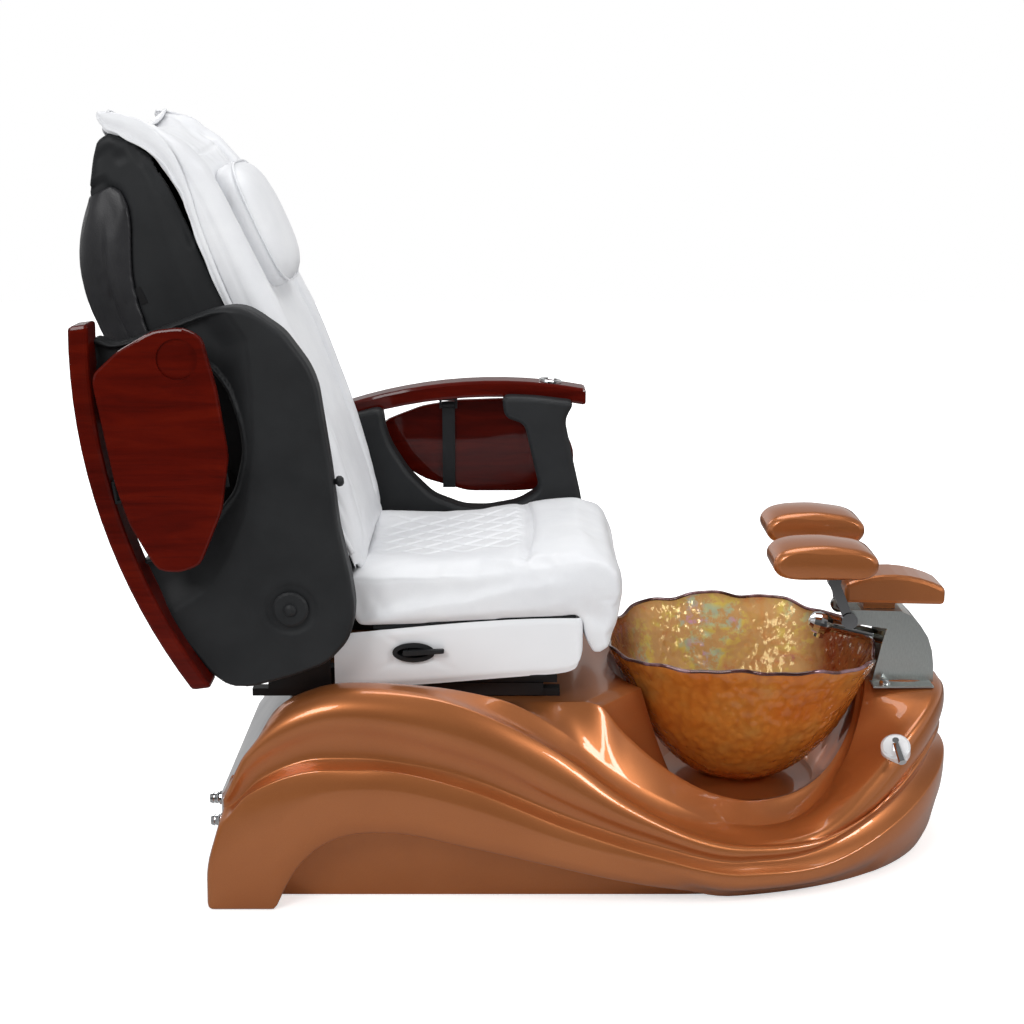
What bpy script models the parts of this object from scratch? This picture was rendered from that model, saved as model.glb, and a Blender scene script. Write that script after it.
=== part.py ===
"""Pedicure spa chair: a massage chair that slides on a moulded foot-spa base with a glass bowl.

Metres, +Z up, the sitter faces +X and the sitter's right is -Y. The right armrest is modelled
folded up beside the backrest and the left one is down, as the chair stands at rest.
"""

import math

import bmesh
import bpy
from mathutils import Vector

# ---------------------------------------------------------------- driving dimensions
GAP = 0.0004                # clearance between pieces that touch
RUN = 0.0005                # radial running clearance of a pivot or slide

# base moulding
SHELL_WALL = 0.006
DECK_HEIGHT = 0.335         # flat deck that carries the seat
DECK_REAR_X = -0.42
DECK_FRONT_X = 0.134
REAR_X = -0.556
REAR_FOOT_Z = 0.155         # where the sloping rear meets the upright rear
TURN_X = 0.27               # the sides run straight up to here, then round to the front tip
FLOOR_HALF = 0.342
ARCH_HALF = 0.392
TIP_X = 0.780

# foot bowl
BOWL_X = 0.414
BOWL_RADIUS = 0.257
BOWL_WALL = 0.006
BOWL_RIM_Z = 0.381
WELL_Z = 0.108              # top face of the pocket that the bowl stands in
WELL_RADIUS = 0.15
PLUMB_OFFSET = 0.045        # drain and jet stand this far each side of the bowl's centre

# seat carriage
SEAT_HALF = 0.250
BOX_WALL = 0.004
CUSHION_HALF = SEAT_HALF + 0.005
RAIL_Y = SEAT_HALF - 0.050
RAIL_WIDTH = 0.024
RAIL_HEIGHT = 0.014
CHEEK_IN = SEAT_HALF - 0.004    # steel cheek plates that carry the back and armrest pivots
CHEEK_WALL = 0.006

# backrest
BACK_PIVOT = (-0.335, DECK_HEIGHT + 0.165)
BACK_LEAN = 24.0            # degrees back from upright at rest
BACK_HALF = SEAT_HALF - 0.015
BACK_SHELL_WALL = 0.005
BACK_CUSHION_HALF = BACK_HALF + 0.005
PILLOW_HALF = 0.140
BACK_PIN_R = 0.008

# armrests
ARM_PIVOT = (-0.410, DECK_HEIGHT + 0.200)
ARM_FOLD = 97.5             # degrees from down to folded up
ARM_IN = SEAT_HALF + 0.018
ARM_OUT = ARM_IN + 0.060
PLANK_IN = ARM_OUT - 0.023
PLANK_OUT = ARM_OUT + 0.040
PLANK_THICK = 0.034
ARM_PIN_R = 0.012
TRAY_IN = PLANK_OUT + 0.007
TRAY_THICK = 0.016
TRAY_AXIS_Y = PLANK_OUT - 0.005
TRAY_AXIS_Z = 0.238         # above the armrest pivot, with the armrest down
TRAY_ARM_X = 0.250
TRAY_ARM_WIDTH = 0.026
TRAY_PIN_R = 0.003

# footrest
PLATE_OUT = 0.050           # outer faces of the bracket's side plates
PLATE_WALL = 0.003
FOOT_PIVOT = (TIP_X - 0.166, 0.430)
FOOT_ARM_LENGTH = 0.090
FOOT_ARM_WALL = 0.006
FOOT_PIN_R = 0.006
PAD_PIN_R = 0.005
FOOT_ARM_LEAN = (-23.0, -9.0)   # right and left arm, degrees from upright
PAD_IN = 0.063
PAD_WIDTH = 0.110

# frame under the moulding
TUBE = 0.028
FRAME_Z = 0.030
FRAME_Y = 0.220
UPRIGHT_X = (-0.380, -0.020)
FOOT_RADIUS = 0.020

FINISHES = {
    "copper": ((0.42, 0.16, 0.06), 0.25, 0.6),
    "grey_panel": ((0.55, 0.55, 0.56), 0.45, 0.0),
    "steel": ((0.05, 0.05, 0.055), 0.45, 0.8),
    "chrome": ((0.85, 0.86, 0.88), 0.08, 1.0),
    "stainless": ((0.60, 0.63, 0.62), 0.30, 1.0),
    "glass": ((0.85, 0.38, 0.12), 0.08, 0.0),
    "black_plastic": ((0.016, 0.017, 0.019), 0.50, 0.0),
    "black_leather": ((0.022, 0.022, 0.025), 0.45, 0.0),
    "white_leather": ((0.80, 0.81, 0.83), 0.45, 0.0),
    "white_plastic": ((0.78, 0.79, 0.81), 0.35, 0.0),
    "wood": ((0.09, 0.006, 0.002), 0.15, 0.0),
    "rubber": ((0.03, 0.03, 0.03), 0.80, 0.0),
}


# ---------------------------------------------------------------- modelling helpers
def clear_scene():
    for item in list(bpy.data.objects):
        bpy.data.objects.remove(item, do_unlink=True)


def paint(item, finish):
    """Give a piece its own Principled material."""
    colour, roughness, metallic = FINISHES[finish]
    skin = bpy.data.materials.new(item.name + "_skin")
    skin.use_nodes = True
    shader = skin.node_tree.nodes["Principled BSDF"]
    shader.inputs["Base Color"].default_value = (*colour, 1.0)
    shader.inputs["Roughness"].default_value = roughness
    shader.inputs["Metallic"].default_value = metallic
    skin.diffuse_color = (*colour, 1.0)
    item.data.materials.clear()
    item.data.materials.append(skin)


def finish_mesh(item, angle=35.0):
    item.data.shade_smooth()
    item.data.set_sharp_from_angle(angle=math.radians(angle))


def make(name, bm, finish, parent=None):
    """Turn a bmesh into a named, painted, smooth-shaded object."""
    bmesh.ops.remove_doubles(bm, verts=bm.verts, dist=0.00002)
    bmesh.ops.recalc_face_normals(bm, faces=bm.faces)
    mesh = bpy.data.meshes.new(name)
    bm.to_mesh(mesh)
    bm.free()
    item = bpy.data.objects.new(name, mesh)
    bpy.context.collection.objects.link(item)
    item.parent = parent
    paint(item, finish)
    finish_mesh(item)
    return item


def pivot(name, x, z, y=0.0, lean=0.0, parent=None):
    """An empty on a joint's axis; lean is in degrees about the Y axis, positive towards +X."""
    mark = bpy.data.objects.new(name, None)
    bpy.context.collection.objects.link(mark)
    mark.location = (x, y, z)
    mark.rotation_euler = (0.0, math.radians(lean), 0.0)
    mark.parent = parent
    return mark


def settle(item):
    """Replace an object's modifiers by their result."""
    bpy.context.view_layer.update()
    graph = bpy.context.evaluated_depsgraph_get()
    solid = bpy.data.meshes.new_from_object(item.evaluated_get(graph))
    item.modifiers.clear()
    bm = bmesh.new()
    bm.from_mesh(solid)
    bmesh.ops.remove_doubles(bm, verts=bm.verts, dist=0.000001)
    bmesh.ops.dissolve_degenerate(bm, edges=bm.edges, dist=0.000001)
    bm.to_mesh(solid)
    bm.free()
    item.data = solid
    finish_mesh(item)


def combine(target, other, operation="UNION"):
    """Join or cut two objects that share a parent, in the parent's own frame."""
    parent = target.parent
    target.parent = other.parent = None
    tool = target.modifiers.new(operation.lower(), "BOOLEAN")
    tool.operation = operation
    tool.solver = "EXACT"
    tool.object = other
    settle(target)
    target.parent = parent
    bpy.data.objects.remove(other, do_unlink=True)
    return target


def unite(*items):
    for other in items[1:]:
        combine(items[0], other)
    return items[0]


def soften(item, width, segments=2, angle=30.0):
    """Round an object's sharp edges."""
    edge = item.modifiers.new("edge", "BEVEL")
    edge.width = width
    edge.segments = segments
    edge.limit_method = "ANGLE"
    edge.angle_limit = math.radians(angle)
    settle(item)
    return item


def on_deck(points):
    """Outline points whose heights are given above the deck."""
    return [(x, DECK_HEIGHT + z) for x, z in points]


def from_tip(points):
    """Outline points whose x is given from the moulding's front tip."""
    return [(TIP_X + x, z) for x, z in points]


def prism(name, outline, y0, y1, finish, parent=None, round_edge=0.0, segments=2):
    """An (x, z) outline drawn out along Y."""
    bm = bmesh.new()
    lid = bm.faces.new([bm.verts.new((x, y0, z)) for x, z in outline])
    grown = bmesh.ops.extrude_face_region(bm, geom=[lid])
    for vert in [g for g in grown["geom"] if isinstance(g, bmesh.types.BMVert)]:
        vert.co.y = y1
    item = make(name, bm, finish, parent)
    if round_edge:
        soften(item, round_edge, segments)
    return item


def block(name, low, high, finish, parent=None, round_edge=0.0):
    outline = [(low[0], low[2]), (high[0], low[2]), (high[0], high[2]), (low[0], high[2])]
    return prism(name, outline, low[1], high[1], finish, parent, round_edge)


def side_block(name, sign, low, high, finish, parent=None):
    """A block given for the left side, mirrored to the right where sign is -1."""
    y0, y1 = sorted((sign * low[1], sign * high[1]))
    return block(name, (low[0], y0, low[2]), (high[0], y1, high[2]), finish, parent)


def rod(name, start, end, radius, finish, parent=None, sides=20, end_radius=None):
    """A round bar, or a taper, between two points."""
    start, end = Vector(start), Vector(end)
    aim = (end - start).normalized()
    turn = aim.to_track_quat("Z", "Y")
    bm = bmesh.new()
    rings = []
    for centre, size in ((start, radius), (end, radius if end_radius is None else end_radius)):
        ring = []
        for k in range(sides):
            angle = 2 * math.pi * k / sides
            offset = turn @ Vector((size * math.cos(angle), size * math.sin(angle), 0.0))
            ring.append(bm.verts.new(centre + offset))
        rings.append(ring)
    for k in range(sides):
        j = (k + 1) % sides
        bm.faces.new((rings[0][k], rings[0][j], rings[1][j], rings[1][k]))
    bm.faces.new(rings[0])
    bm.faces.new(rings[1])
    return make(name, bm, finish, parent)


def turned(name, profile, origin, aim, finish, parent=None, sides=24):
    """A closed (radius, height) profile turned about an axis through origin."""
    turn = Vector(aim).normalized().to_track_quat("Z", "Y")
    origin = Vector(origin)
    bm = bmesh.new()
    rings = []
    for radius, height in profile:
        if radius < 1e-6:
            rings.append([bm.verts.new(origin + turn @ Vector((0, 0, height)))])
            continue
        ring = []
        for k in range(sides):
            angle = 2 * math.pi * k / sides
            spot = Vector((radius * math.cos(angle), radius * math.sin(angle), height))
            ring.append(bm.verts.new(origin + turn @ spot))
        rings.append(ring)
    closed = profile[0][0] >= 1e-6
    pairs = list(zip(rings, rings[1:] + (rings[:1] if closed else [])))
    if not closed:
        pairs = pairs[:len(rings) - 1]
    for a, b in pairs:
        for k in range(sides):
            j = (k + 1) % sides
            corners = [a[k % len(a)], a[j % len(a)], b[j % len(b)], b[k % len(b)]]
            unique = list(dict.fromkeys(corners))
            if len(unique) > 2:
                bm.faces.new(unique)
    return make(name, bm, finish, parent)


def arc_points(first, middle, last, count):
    """Points on the circle through three (x, z) points, from first to last."""
    (ax, az), (bx, bz), (cx, cz) = first, middle, last
    d = 2 * (ax * (bz - cz) + bx * (cz - az) + cx * (az - bz))
    a2, b2, c2 = ax * ax + az * az, bx * bx + bz * bz, cx * cx + cz * cz
    ox = (a2 * (bz - cz) + b2 * (cz - az) + c2 * (az - bz)) / d
    oz = (a2 * (cx - bx) + b2 * (ax - cx) + c2 * (bx - ax)) / d
    radius = math.hypot(ax - ox, az - oz)
    start = math.atan2(az - oz, ax - ox)
    sweep = math.atan2(cz - oz, cx - ox) - start
    sweep = (sweep + math.pi) % (2 * math.pi) - math.pi
    angles = [start + sweep * k / (count - 1) for k in range(count)]
    return [(ox + radius * math.cos(a), oz + radius * math.sin(a)) for a in angles]


def rounded(outline, radius, steps=3):
    """Round the corners of a closed outline with short arcs."""
    points = [Vector(p) for p in outline]
    smooth = []
    for k, corner in enumerate(points):
        before, after = points[k - 1], points[(k + 1) % len(points)]
        reach = min(radius, (before - corner).length * 0.45, (after - corner).length * 0.45)
        a = corner + (before - corner).normalized() * reach
        b = corner + (after - corner).normalized() * reach
        for s in range(steps + 1):
            t = s / steps
            smooth.append(tuple(a * (1 - t) ** 2 + corner * 2 * t * (1 - t) + b * t * t))
    return smooth


def smooth_value(knots, x):
    """A smooth curve through (x, value) knots, level at each peak and beyond its ends."""
    if x <= knots[0][0]:
        return knots[0][1]
    if x >= knots[-1][0]:
        return knots[-1][1]
    for k in range(len(knots) - 1):
        if knots[k][0] <= x <= knots[k + 1][0]:
            break
    (x0, v0), (x1, v1) = knots[k], knots[k + 1]
    xa, va = knots[max(k - 1, 0)]
    xb, vb = knots[min(k + 2, len(knots) - 1)]
    here = v1 - v0
    m0 = (v1 - va) / (x1 - xa) * (x1 - x0) if (v0 - va) * here > 0 else 0.0
    m1 = (vb - v0) / (xb - x0) * (x1 - x0) if (vb - v1) * here > 0 else 0.0
    t = (x - x0) / (x1 - x0)
    return (v0 * (2 * t ** 3 - 3 * t ** 2 + 1) + m0 * (t ** 3 - 2 * t ** 2 + t)
            + v1 * (3 * t ** 2 - 2 * t ** 3) + m1 * (t ** 3 - t ** 2))


# ---------------------------------------------------------------- base moulding
# Each rail runs from the rear to the front tip. It has its rear x, half width, tip x, and the
# heights along it. The first three make the floor edge and the arch over the side recess.
ARCH = [(-0.45, 0.0), (-0.425, 0.045), (-0.40, 0.085), (-0.36, 0.121), (-0.31, 0.141),
        (-0.25, 0.145), (-0.09, 0.114), (0.03, 0.085), (0.15, 0.053), (0.27, 0.024), (0.37, 0.0)]
CREASE_LOW = [(-0.54, 0.165), (-0.49, 0.215), (-0.42, 0.250), (-0.35, 0.263), (-0.275, 0.263),
              (-0.11, 0.228), (0.08, 0.150), (0.235, 0.097), (0.395, 0.063), (0.54, 0.065),
              (0.68, 0.105), (0.78, 0.150), (0.815, 0.165)]
CREASE_MID = [(-0.535, 0.187), (-0.465, 0.241), (-0.395, 0.273), (-0.335, 0.279),
              (-0.25, 0.275), (-0.11, 0.245), (0.08, 0.166), (0.235, 0.113), (0.385, 0.079),
              (0.515, 0.080), (0.655, 0.127), (0.76, 0.170), (0.808, 0.185)]
SWELL = [(-0.535, 0.200), (-0.49, 0.263), (-0.395, 0.318), (-0.325, 0.333), (-0.24, 0.324),
         (-0.15, 0.300), (-0.05, 0.263), (0.055, 0.206), (0.2, 0.142), (0.39, 0.089),
         (0.52, 0.089), (0.67, 0.145), (0.80, 0.200)]
CREST = [(-0.531, 0.213), (-0.505, 0.254), (-0.445, 0.340), (-0.373, 0.379), (-0.30, 0.391),
         (-0.168, 0.379), (-0.086, 0.353), (0.01, 0.305), (0.082, 0.260), (0.163, 0.200),
         (0.262, 0.141), (0.33, 0.114), (0.4, 0.099), (0.51, 0.095), (0.62, 0.120),
         (0.673, 0.150), (0.729, 0.190), (0.795, 0.213)]
LOBE = [(-0.53, 0.216), (-0.445, 0.345), (-0.373, 0.384), (-0.30, 0.395), (-0.168, 0.384),
        (-0.086, 0.360), (0.01, 0.318), (0.082, 0.268), (0.163, 0.205), (0.262, 0.152),
        (0.4, 0.112), (0.53, 0.125), (0.63, 0.184), (0.70, 0.248), (0.77, 0.296), (0.794, 0.303)]
BAND = [(-0.53, 0.214), (-0.445, 0.338), (-0.373, 0.380), (-0.30, 0.390), (-0.168, 0.382),
        (-0.086, 0.368), (-0.025, 0.350), (0.06, 0.300), (0.10, 0.266), (0.196, 0.197),
        (0.267, 0.159), (0.337, 0.125), (0.46, 0.104), (0.51, 0.113), (0.565, 0.150),
        (0.607, 0.205), (0.640, 0.280), (0.655, 0.312)]
POCKET = [(0.09, DECK_HEIGHT), (DECK_FRONT_X, DECK_HEIGHT - 0.009), (0.176, 0.276), (0.247, 0.212),
          (0.318, 0.167), (0.379, 0.144), (0.429, 0.135), (0.49, 0.138), (0.542, 0.155),
          (0.586, 0.190), (0.621, 0.240), (0.645, 0.303)]
STATIONS = [REAR_X, -0.53, -0.50, -0.47, -0.445, DECK_REAR_X, -0.40, -0.38, -0.35, -0.31, -0.26, -0.19,
            -0.11, -0.03, 0.04, 0.09, DECK_FRONT_X, DECK_FRONT_X + 0.031, 0.21, TURN_X]
TIP_STEPS = 7


def arch_height(x):
    return max(0.0, smooth_value(ARCH, x))


def arch_half(x):
    return smooth_value([(0.0, ARCH_HALF), (0.20, 0.378), (0.37, FLOOR_HALF + 0.004)], x)


def skirt_half(x):
    return smooth_value([(0.0, 0.402), (0.3, 0.388)], x)


def pocket_height(x):
    """The inner rail climbs the straight rear slope, then runs along the deck and the pocket."""
    if x < DECK_REAR_X:
        rise = (DECK_HEIGHT - REAR_FOOT_Z) / (DECK_REAR_X - REAR_X)
        return DECK_HEIGHT - rise * (DECK_REAR_X - x)
    return smooth_value(POCKET, x)


def fixed(value):
    return lambda x: value


def heights(knots):
    return lambda x: smooth_value(knots, x)


def base_rails():
    """(rear x, half width at x, tip x, height at x) for each rail, from the floor up and in."""
    return [
        (-0.566, fixed(FLOOR_HALF - 0.012), TIP_X - 0.012, fixed(0.0)),
        (-0.566, fixed(FLOOR_HALF - 0.004), TIP_X - 0.006, lambda x: max(0.0, arch_height(x) - 0.005)),
        (-0.566, arch_half, TIP_X, arch_height),
        (-0.563, skirt_half, TIP_X + 0.016, lambda x: 0.5 * (arch_height(x) + smooth_value(CREASE_LOW, x))),
        (-0.540, fixed(0.390), TIP_X + 0.020, heights(CREASE_LOW)),
        (-0.535, fixed(0.380), TIP_X + 0.016, heights(CREASE_MID)),
        (-0.535, fixed(0.367), TIP_X + 0.013, heights(SWELL)),
        (-0.531, fixed(0.350), TIP_X + 0.010, heights(CREST)),
        (-0.530, fixed(0.328), TIP_X + 0.014, heights(LOBE)),
        (-0.530, fixed(0.295), TIP_X - 0.125, heights(BAND)),
        (REAR_X, fixed(0.245), TIP_X - 0.135, pocket_height),
    ]


def rail_points(rail):
    start, half, tip, height = rail
    points = []
    scale = (TURN_X - start) / (TURN_X - STATIONS[0])
    for nominal in STATIONS:
        x = TURN_X - (TURN_X - nominal) * scale
        points.append((x, -half(x), height(x)))
    for k in range(1, TIP_STEPS + 1):
        angle = math.pi / 2 * k / TIP_STEPS
        x = TURN_X + (tip - TURN_X) * math.sin(angle)
        points.append((x, -half(x) * math.cos(angle) if k < TIP_STEPS else 0.0, height(x)))
    return points


def mixer_seat():
    """Point and outward normal on the front lobe where the mixer sits."""
    rails = [rail_points(r) for r in base_rails()]
    station = len(STATIONS) + 3
    centre = Vector(rails[8][station])
    along = Vector(rails[8][station + 1]) - Vector(rails[8][station - 1])
    across = Vector(rails[9][station]) - Vector(rails[7][station])
    normal = across.cross(along).normalized()
    if normal.z < 0:
        normal = -normal
    return centre, normal


def base_shell():
    bm = bmesh.new()
    rails = [rail_points(r) for r in base_rails()]
    count = len(rails[0])
    sides = []
    for sign in (1, -1):
        grid = [[bm.verts.new((x, sign * y, z)) for x, y, z in rail] for rail in rails]
        sides.append(grid)
        for lower, upper in zip(grid, grid[1:]):
            for k in range(count - 1):
                quad = (lower[k], lower[k + 1], upper[k + 1], upper[k])
                bm.faces.new(quad if sign > 0 else quad[::-1])
    # deck between the two inner rails
    front = STATIONS.index(DECK_FRONT_X)
    across = 4
    rows = []
    for k in range(front + 1):
        near, far = sides[0][-1][k], sides[1][-1][k]
        middle = [bm.verts.new(near.co.lerp(far.co, s / across)) for s in range(1, across)]
        rows.append([near, *middle, far])
    for k in range(front):
        for s in range(across):
            bm.faces.new((rows[k][s], rows[k + 1][s], rows[k + 1][s + 1], rows[k][s + 1]))
    # pocket for the bowl: from the rail and the deck's front edge down to a flat round floor
    loop = sides[0][-1][front:] + sides[1][-1][front:-1][::-1] + rows[front][1:-1][::-1]
    ring = []
    for vert in loop:
        angle = math.atan2(vert.co.y, vert.co.x - BOWL_X)
        spot = (BOWL_X + WELL_RADIUS * math.cos(angle), WELL_RADIUS * math.sin(angle), WELL_Z)
        ring.append(bm.verts.new(spot))
    for k in range(len(loop)):
        j = (k + 1) % len(loop)
        bm.faces.new((loop[k], ring[k], ring[j], loop[j]))
    bm.faces.new(ring)
    shell = make("base_shell", bm, "copper")
    deck = max(shell.data.polygons, key=lambda p: p.area if abs(p.normal.z) > 0.9 else 0.0)
    if deck.normal.z < 0:
        shell.data.flip_normals()
    wall = shell.modifiers.new("wall", "SOLIDIFY")
    wall.thickness = SHELL_WALL
    wall.offset = -1.0
    wall.use_even_offset = False
    settle(shell)
    centre, normal = mixer_seat()
    holes = [
        rod("mixer_hole", centre - normal * 0.03, centre + normal * 0.03, MIXER_R + GAP, "copper", sides=24),
        rod("drain_hole", (DRAIN_X, 0, WELL_Z - 0.03), (DRAIN_X, 0, WELL_Z + 0.02),
            DRAIN_NECK_R + RUN, "copper"),
        rod("jet_hole", (JET_X, 0, WELL_Z - 0.03), (JET_X, 0, WELL_Z + 0.02),
            JET_NECK_R + RUN, "copper"),
    ]
    for hole in holes:
        combine(shell, hole, "DIFFERENCE")
    return shell


def rear_panel():
    """Light panel that closes the rear: a slope below the deck, then upright to the floor."""
    top, foot = Vector((DECK_REAR_X, DECK_HEIGHT)), Vector((REAR_X, REAR_FOOT_Z))
    slope = (foot - top).normalized()
    out = Vector((slope.y, -slope.x))
    if out.x > 0:
        out = -out
    start = top + slope * 0.018
    skin, thick = GAP, 0.004
    inner = [start + out * skin, foot + out * skin]
    outer = [start + out * (skin + thick), foot + out * (skin + thick)]
    bottom_x = foot.x + out.x * skin
    outline = [inner[0], outer[0], outer[1], (bottom_x - thick, 0.012), (bottom_x, 0.012), inner[1]]
    panel = prism("rear_panel", outline, -0.240, 0.240, "grey_panel", None, 0.001, 1)
    for z in INLET_HEIGHTS:
        hole = rod("inlet_hole", (REAR_X - 0.05, INLET_Y, z), (REAR_X + 0.05, INLET_Y, z),
                   INLET_NECK_R + RUN, "grey_panel")
        combine(panel, hole, "DIFFERENCE")
    return panel


def steel_base_frame():
    """Tube frame inside the moulding: two runners, cross tubes, and uprights under the deck."""
    top = FRAME_Z + TUBE
    parts = []
    for y in (-FRAME_Y, FRAME_Y):
        parts.append(block("runner", (-0.49, y - TUBE / 2, FRAME_Z), (0.56, y + TUBE / 2, top), "steel"))
    for x in (-0.47, -0.12, 0.20, 0.54):
        parts.append(block("cross", (x - TUBE / 2, -FRAME_Y, FRAME_Z + 0.001),
                           (x + TUBE / 2, FRAME_Y, top - 0.001), "steel"))
    under_deck = DECK_HEIGHT - SHELL_WALL - GAP
    for x in UPRIGHT_X:
        for y in (-FRAME_Y, FRAME_Y):
            side = TUBE / 2 - 0.001
            parts.append(block("upright", (x - side, y - side, FRAME_Z + 0.002),
                               (x + side, y + side, under_deck), "steel"))
    parts[0].name = "base_frame"
    return unite(*parts)


def levelling_feet():
    profile = [(0, 0), (FOOT_RADIUS, 0), (FOOT_RADIUS, 0.008), (0.008, 0.012),
               (0.006, FRAME_Z - GAP), (0, FRAME_Z - GAP)]
    for x, place in ((-0.43, "rear"), (0.50, "front")):
        for y, side in ((-FRAME_Y, "right"), (FRAME_Y, "left")):
            turned(f"levelling_foot_{place}_{side}", profile, (x, y, 0), (0, 0, 1), "rubber", sides=20)


# ---------------------------------------------------------------- bowl and plumbing
DRAIN_X = BOWL_X + PLUMB_OFFSET
JET_X = BOWL_X - PLUMB_OFFSET
DRAIN_NECK_R = 0.018
JET_NECK_R = 0.016
MIXER_R = 0.027
INLET_Y = -0.215
INLET_NECK_R = 0.0085
INLET_HEIGHTS = (0.138, 0.094)
BOWL_FLOOR_Z = WELL_Z + GAP
BOWL_STEPS = 40
# radius as a share of the rim's, and height as a share of the bowl's depth
BOWL_PROFILE = [(0.36, 0.0), (0.45, 0.035), (0.56, 0.12), (0.66, 0.29), (0.74, 0.46),
                (0.80, 0.60), (0.88, 0.76), (0.94, 0.89), (1.00, 1.0)]


SPOUT_END_X = TIP_X - 0.076         # where the spout meets the bracket's bulkhead


def rim_wave(angle):
    """Height of the rim round the bowl: lowest at the front, highest at the sides, and scalloped."""
    return (BOWL_RIM_Z - 0.006 * math.cos(angle) - 0.011 * math.cos(2 * angle)
            + 0.003 * math.cos(9 * angle))


def bowl_point(share, height, angle, inset):
    square = (abs(math.cos(angle)) ** 2.3 + abs(math.sin(angle)) ** 2.3) ** (-1 / 2.3)
    scallop = 1 + 0.012 * height ** 3 * math.cos(9 * angle)
    radius = BOWL_RADIUS * share * (1 + (square - 1) * height) * scallop - inset
    floor = BOWL_FLOOR_Z + (BOWL_WALL if inset else 0.0)
    z = floor + (rim_wave(angle) - BOWL_FLOOR_Z) * height
    if inset:
        z -= BOWL_WALL * height
    return (BOWL_X + radius * math.cos(angle), radius * math.sin(angle), z)


def bowl():
    bm = bmesh.new()
    rings = []
    for inset, profile in ((0.0, BOWL_PROFILE), (BOWL_WALL, BOWL_PROFILE[::-1])):
        for share, height in profile:
            rings.append([bm.verts.new(bowl_point(share, height, 2 * math.pi * k / BOWL_STEPS, inset))
                          for k in range(BOWL_STEPS)])
    for a, b in zip(rings, rings[1:]):
        for k in range(BOWL_STEPS):
            j = (k + 1) % BOWL_STEPS
            bm.faces.new((a[k], a[j], b[j], b[k]))
    bm.faces.new(rings[0])
    bm.faces.new(rings[-1])
    glass = make("foot_bowl", bm, "glass")
    for x, radius in ((DRAIN_X, DRAIN_NECK_R), (JET_X, JET_NECK_R)):
        hole = rod("hole", (x, 0, WELL_Z - 0.02), (x, 0, WELL_Z + 0.03), radius + RUN, "glass")
        combine(glass, hole, "DIFFERENCE")
    return glass


def plumbing():
    floor = BOWL_FLOOR_Z + BOWL_WALL + GAP
    low = WELL_Z - SHELL_WALL
    turned("drain_strainer", [(0, floor + 0.003), (0.026, floor + 0.003), (0.028, floor),
                              (DRAIN_NECK_R, floor), (DRAIN_NECK_R, low - 0.006), (0, low - 0.006)],
           (DRAIN_X, 0, 0), (0, 0, 1), "chrome")
    elbow = turned("drain_elbow", [(0, 0), (0.016, 0), (0.016, 0.034), (0, 0.034)],
                   (DRAIN_X, 0, low - 0.006 - GAP - 0.034), (0, 0, 1), "grey_panel")
    waste = rod("waste", (DRAIN_X, 0, low - 0.030), (DRAIN_X, 0.16, low - 0.030), 0.0125, "grey_panel")
    unite(elbow, waste)
    motor = turned("jet_motor", [(0, low - 0.060), (0.034, low - 0.060), (0.034, low - GAP),
                                 (JET_NECK_R, low - GAP), (JET_NECK_R, floor + 0.001), (0, floor + 0.001)],
                   (JET_X, 0, 0), (0, 0, 1), "black_plastic")
    motor.name = "jet_motor"
    spin = pivot("jet_axis", JET_X, floor)
    hub = turned("jet_impeller", [(0, 0.0014), (0.006, 0.0014), (0.006, 0.0105), (0, 0.0105)],
                 (0, 0, 0), (0, 0, 1), "white_plastic", spin)
    for k in range(3):
        angle = math.pi * k / 3
        aim = Vector((math.cos(angle), math.sin(angle), 0)) * 0.017
        centre = Vector((0, 0, 0.006))
        fin = rod("fin", centre - aim, centre + aim, 0.003, "white_plastic", spin, 6)
        combine(hub, fin)
    wall, inside = 0.002, 0.021
    turned("jet_cover", [(inside, 0.0), (inside + wall, 0.0), (inside + wall, 0.012),
                         (inside - 0.004, 0.0155), (0.009, 0.0155), (0.009, 0.0135),
                         (inside - 0.005, 0.0135), (inside, 0.011)],
           (JET_X, 0, floor), (0, 0, 1), "chrome", sides=20)
    for z, name in zip(INLET_HEIGHTS, ("hot_inlet", "cold_inlet")):
        back = REAR_X - 0.006
        profile = [(0, -0.03), (INLET_NECK_R, -0.03), (INLET_NECK_R, 0.0), (0.0125, 0.0005),
                   (0.0125, 0.004), (0.009, 0.006), (0.011, 0.009), (0.009, 0.015), (0.011, 0.016),
                   (0.009, 0.022), (0, 0.022)]
        turned(name, profile, (back, INLET_Y, z), (-1, 0, 0), "chrome", sides=16)


def mixer():
    centre, normal = mixer_seat()
    lift = 0.007
    turned("mixer_body", [(0, -0.014), (MIXER_R, -0.014), (MIXER_R, lift), (MIXER_R - 0.004, lift + 0.003),
                          (0, lift + 0.003)],
           centre, normal, "chrome")
    side = Vector((0, 0, -1)) - normal * Vector((0, 0, -1)).dot(normal)
    side = (side.normalized() + Vector((0.35, 0, 0))).normalized()
    base = centre + normal * (lift + 0.003 + GAP)
    stem = rod("mixer_lever", base, base + normal * 0.020, 0.006, "chrome", sides=14)
    handle = rod("handle", base + normal * 0.014 - side * 0.004, base + normal * 0.018 + side * 0.046,
                 0.0055, "chrome", sides=10, end_radius=0.0075)
    return unite(stem, handle)


def spout():
    """Tap spout that comes out between the bracket's plates over the bowl."""
    pipe = rod("spout", (SPOUT_END_X - 0.0035, 0, 0.377), (TIP_X - 0.210, 0, 0.408), 0.013, "chrome", sides=24)
    head = turned("head", [(0, -0.026), (0.014, -0.024), (0.021, -0.012), (0.022, 0.0),
                           (0.019, 0.012), (0.010, 0.019), (0, 0.021)],
                  (TIP_X - 0.214, 0, 0.409), (-0.97, 0, 0.23), "chrome")
    nozzle = rod("nozzle", (TIP_X - 0.208, 0, 0.402), (TIP_X - 0.214, 0, 0.381), 0.010, "chrome", sides=20)
    return unite(pipe, head, nozzle)


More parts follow.
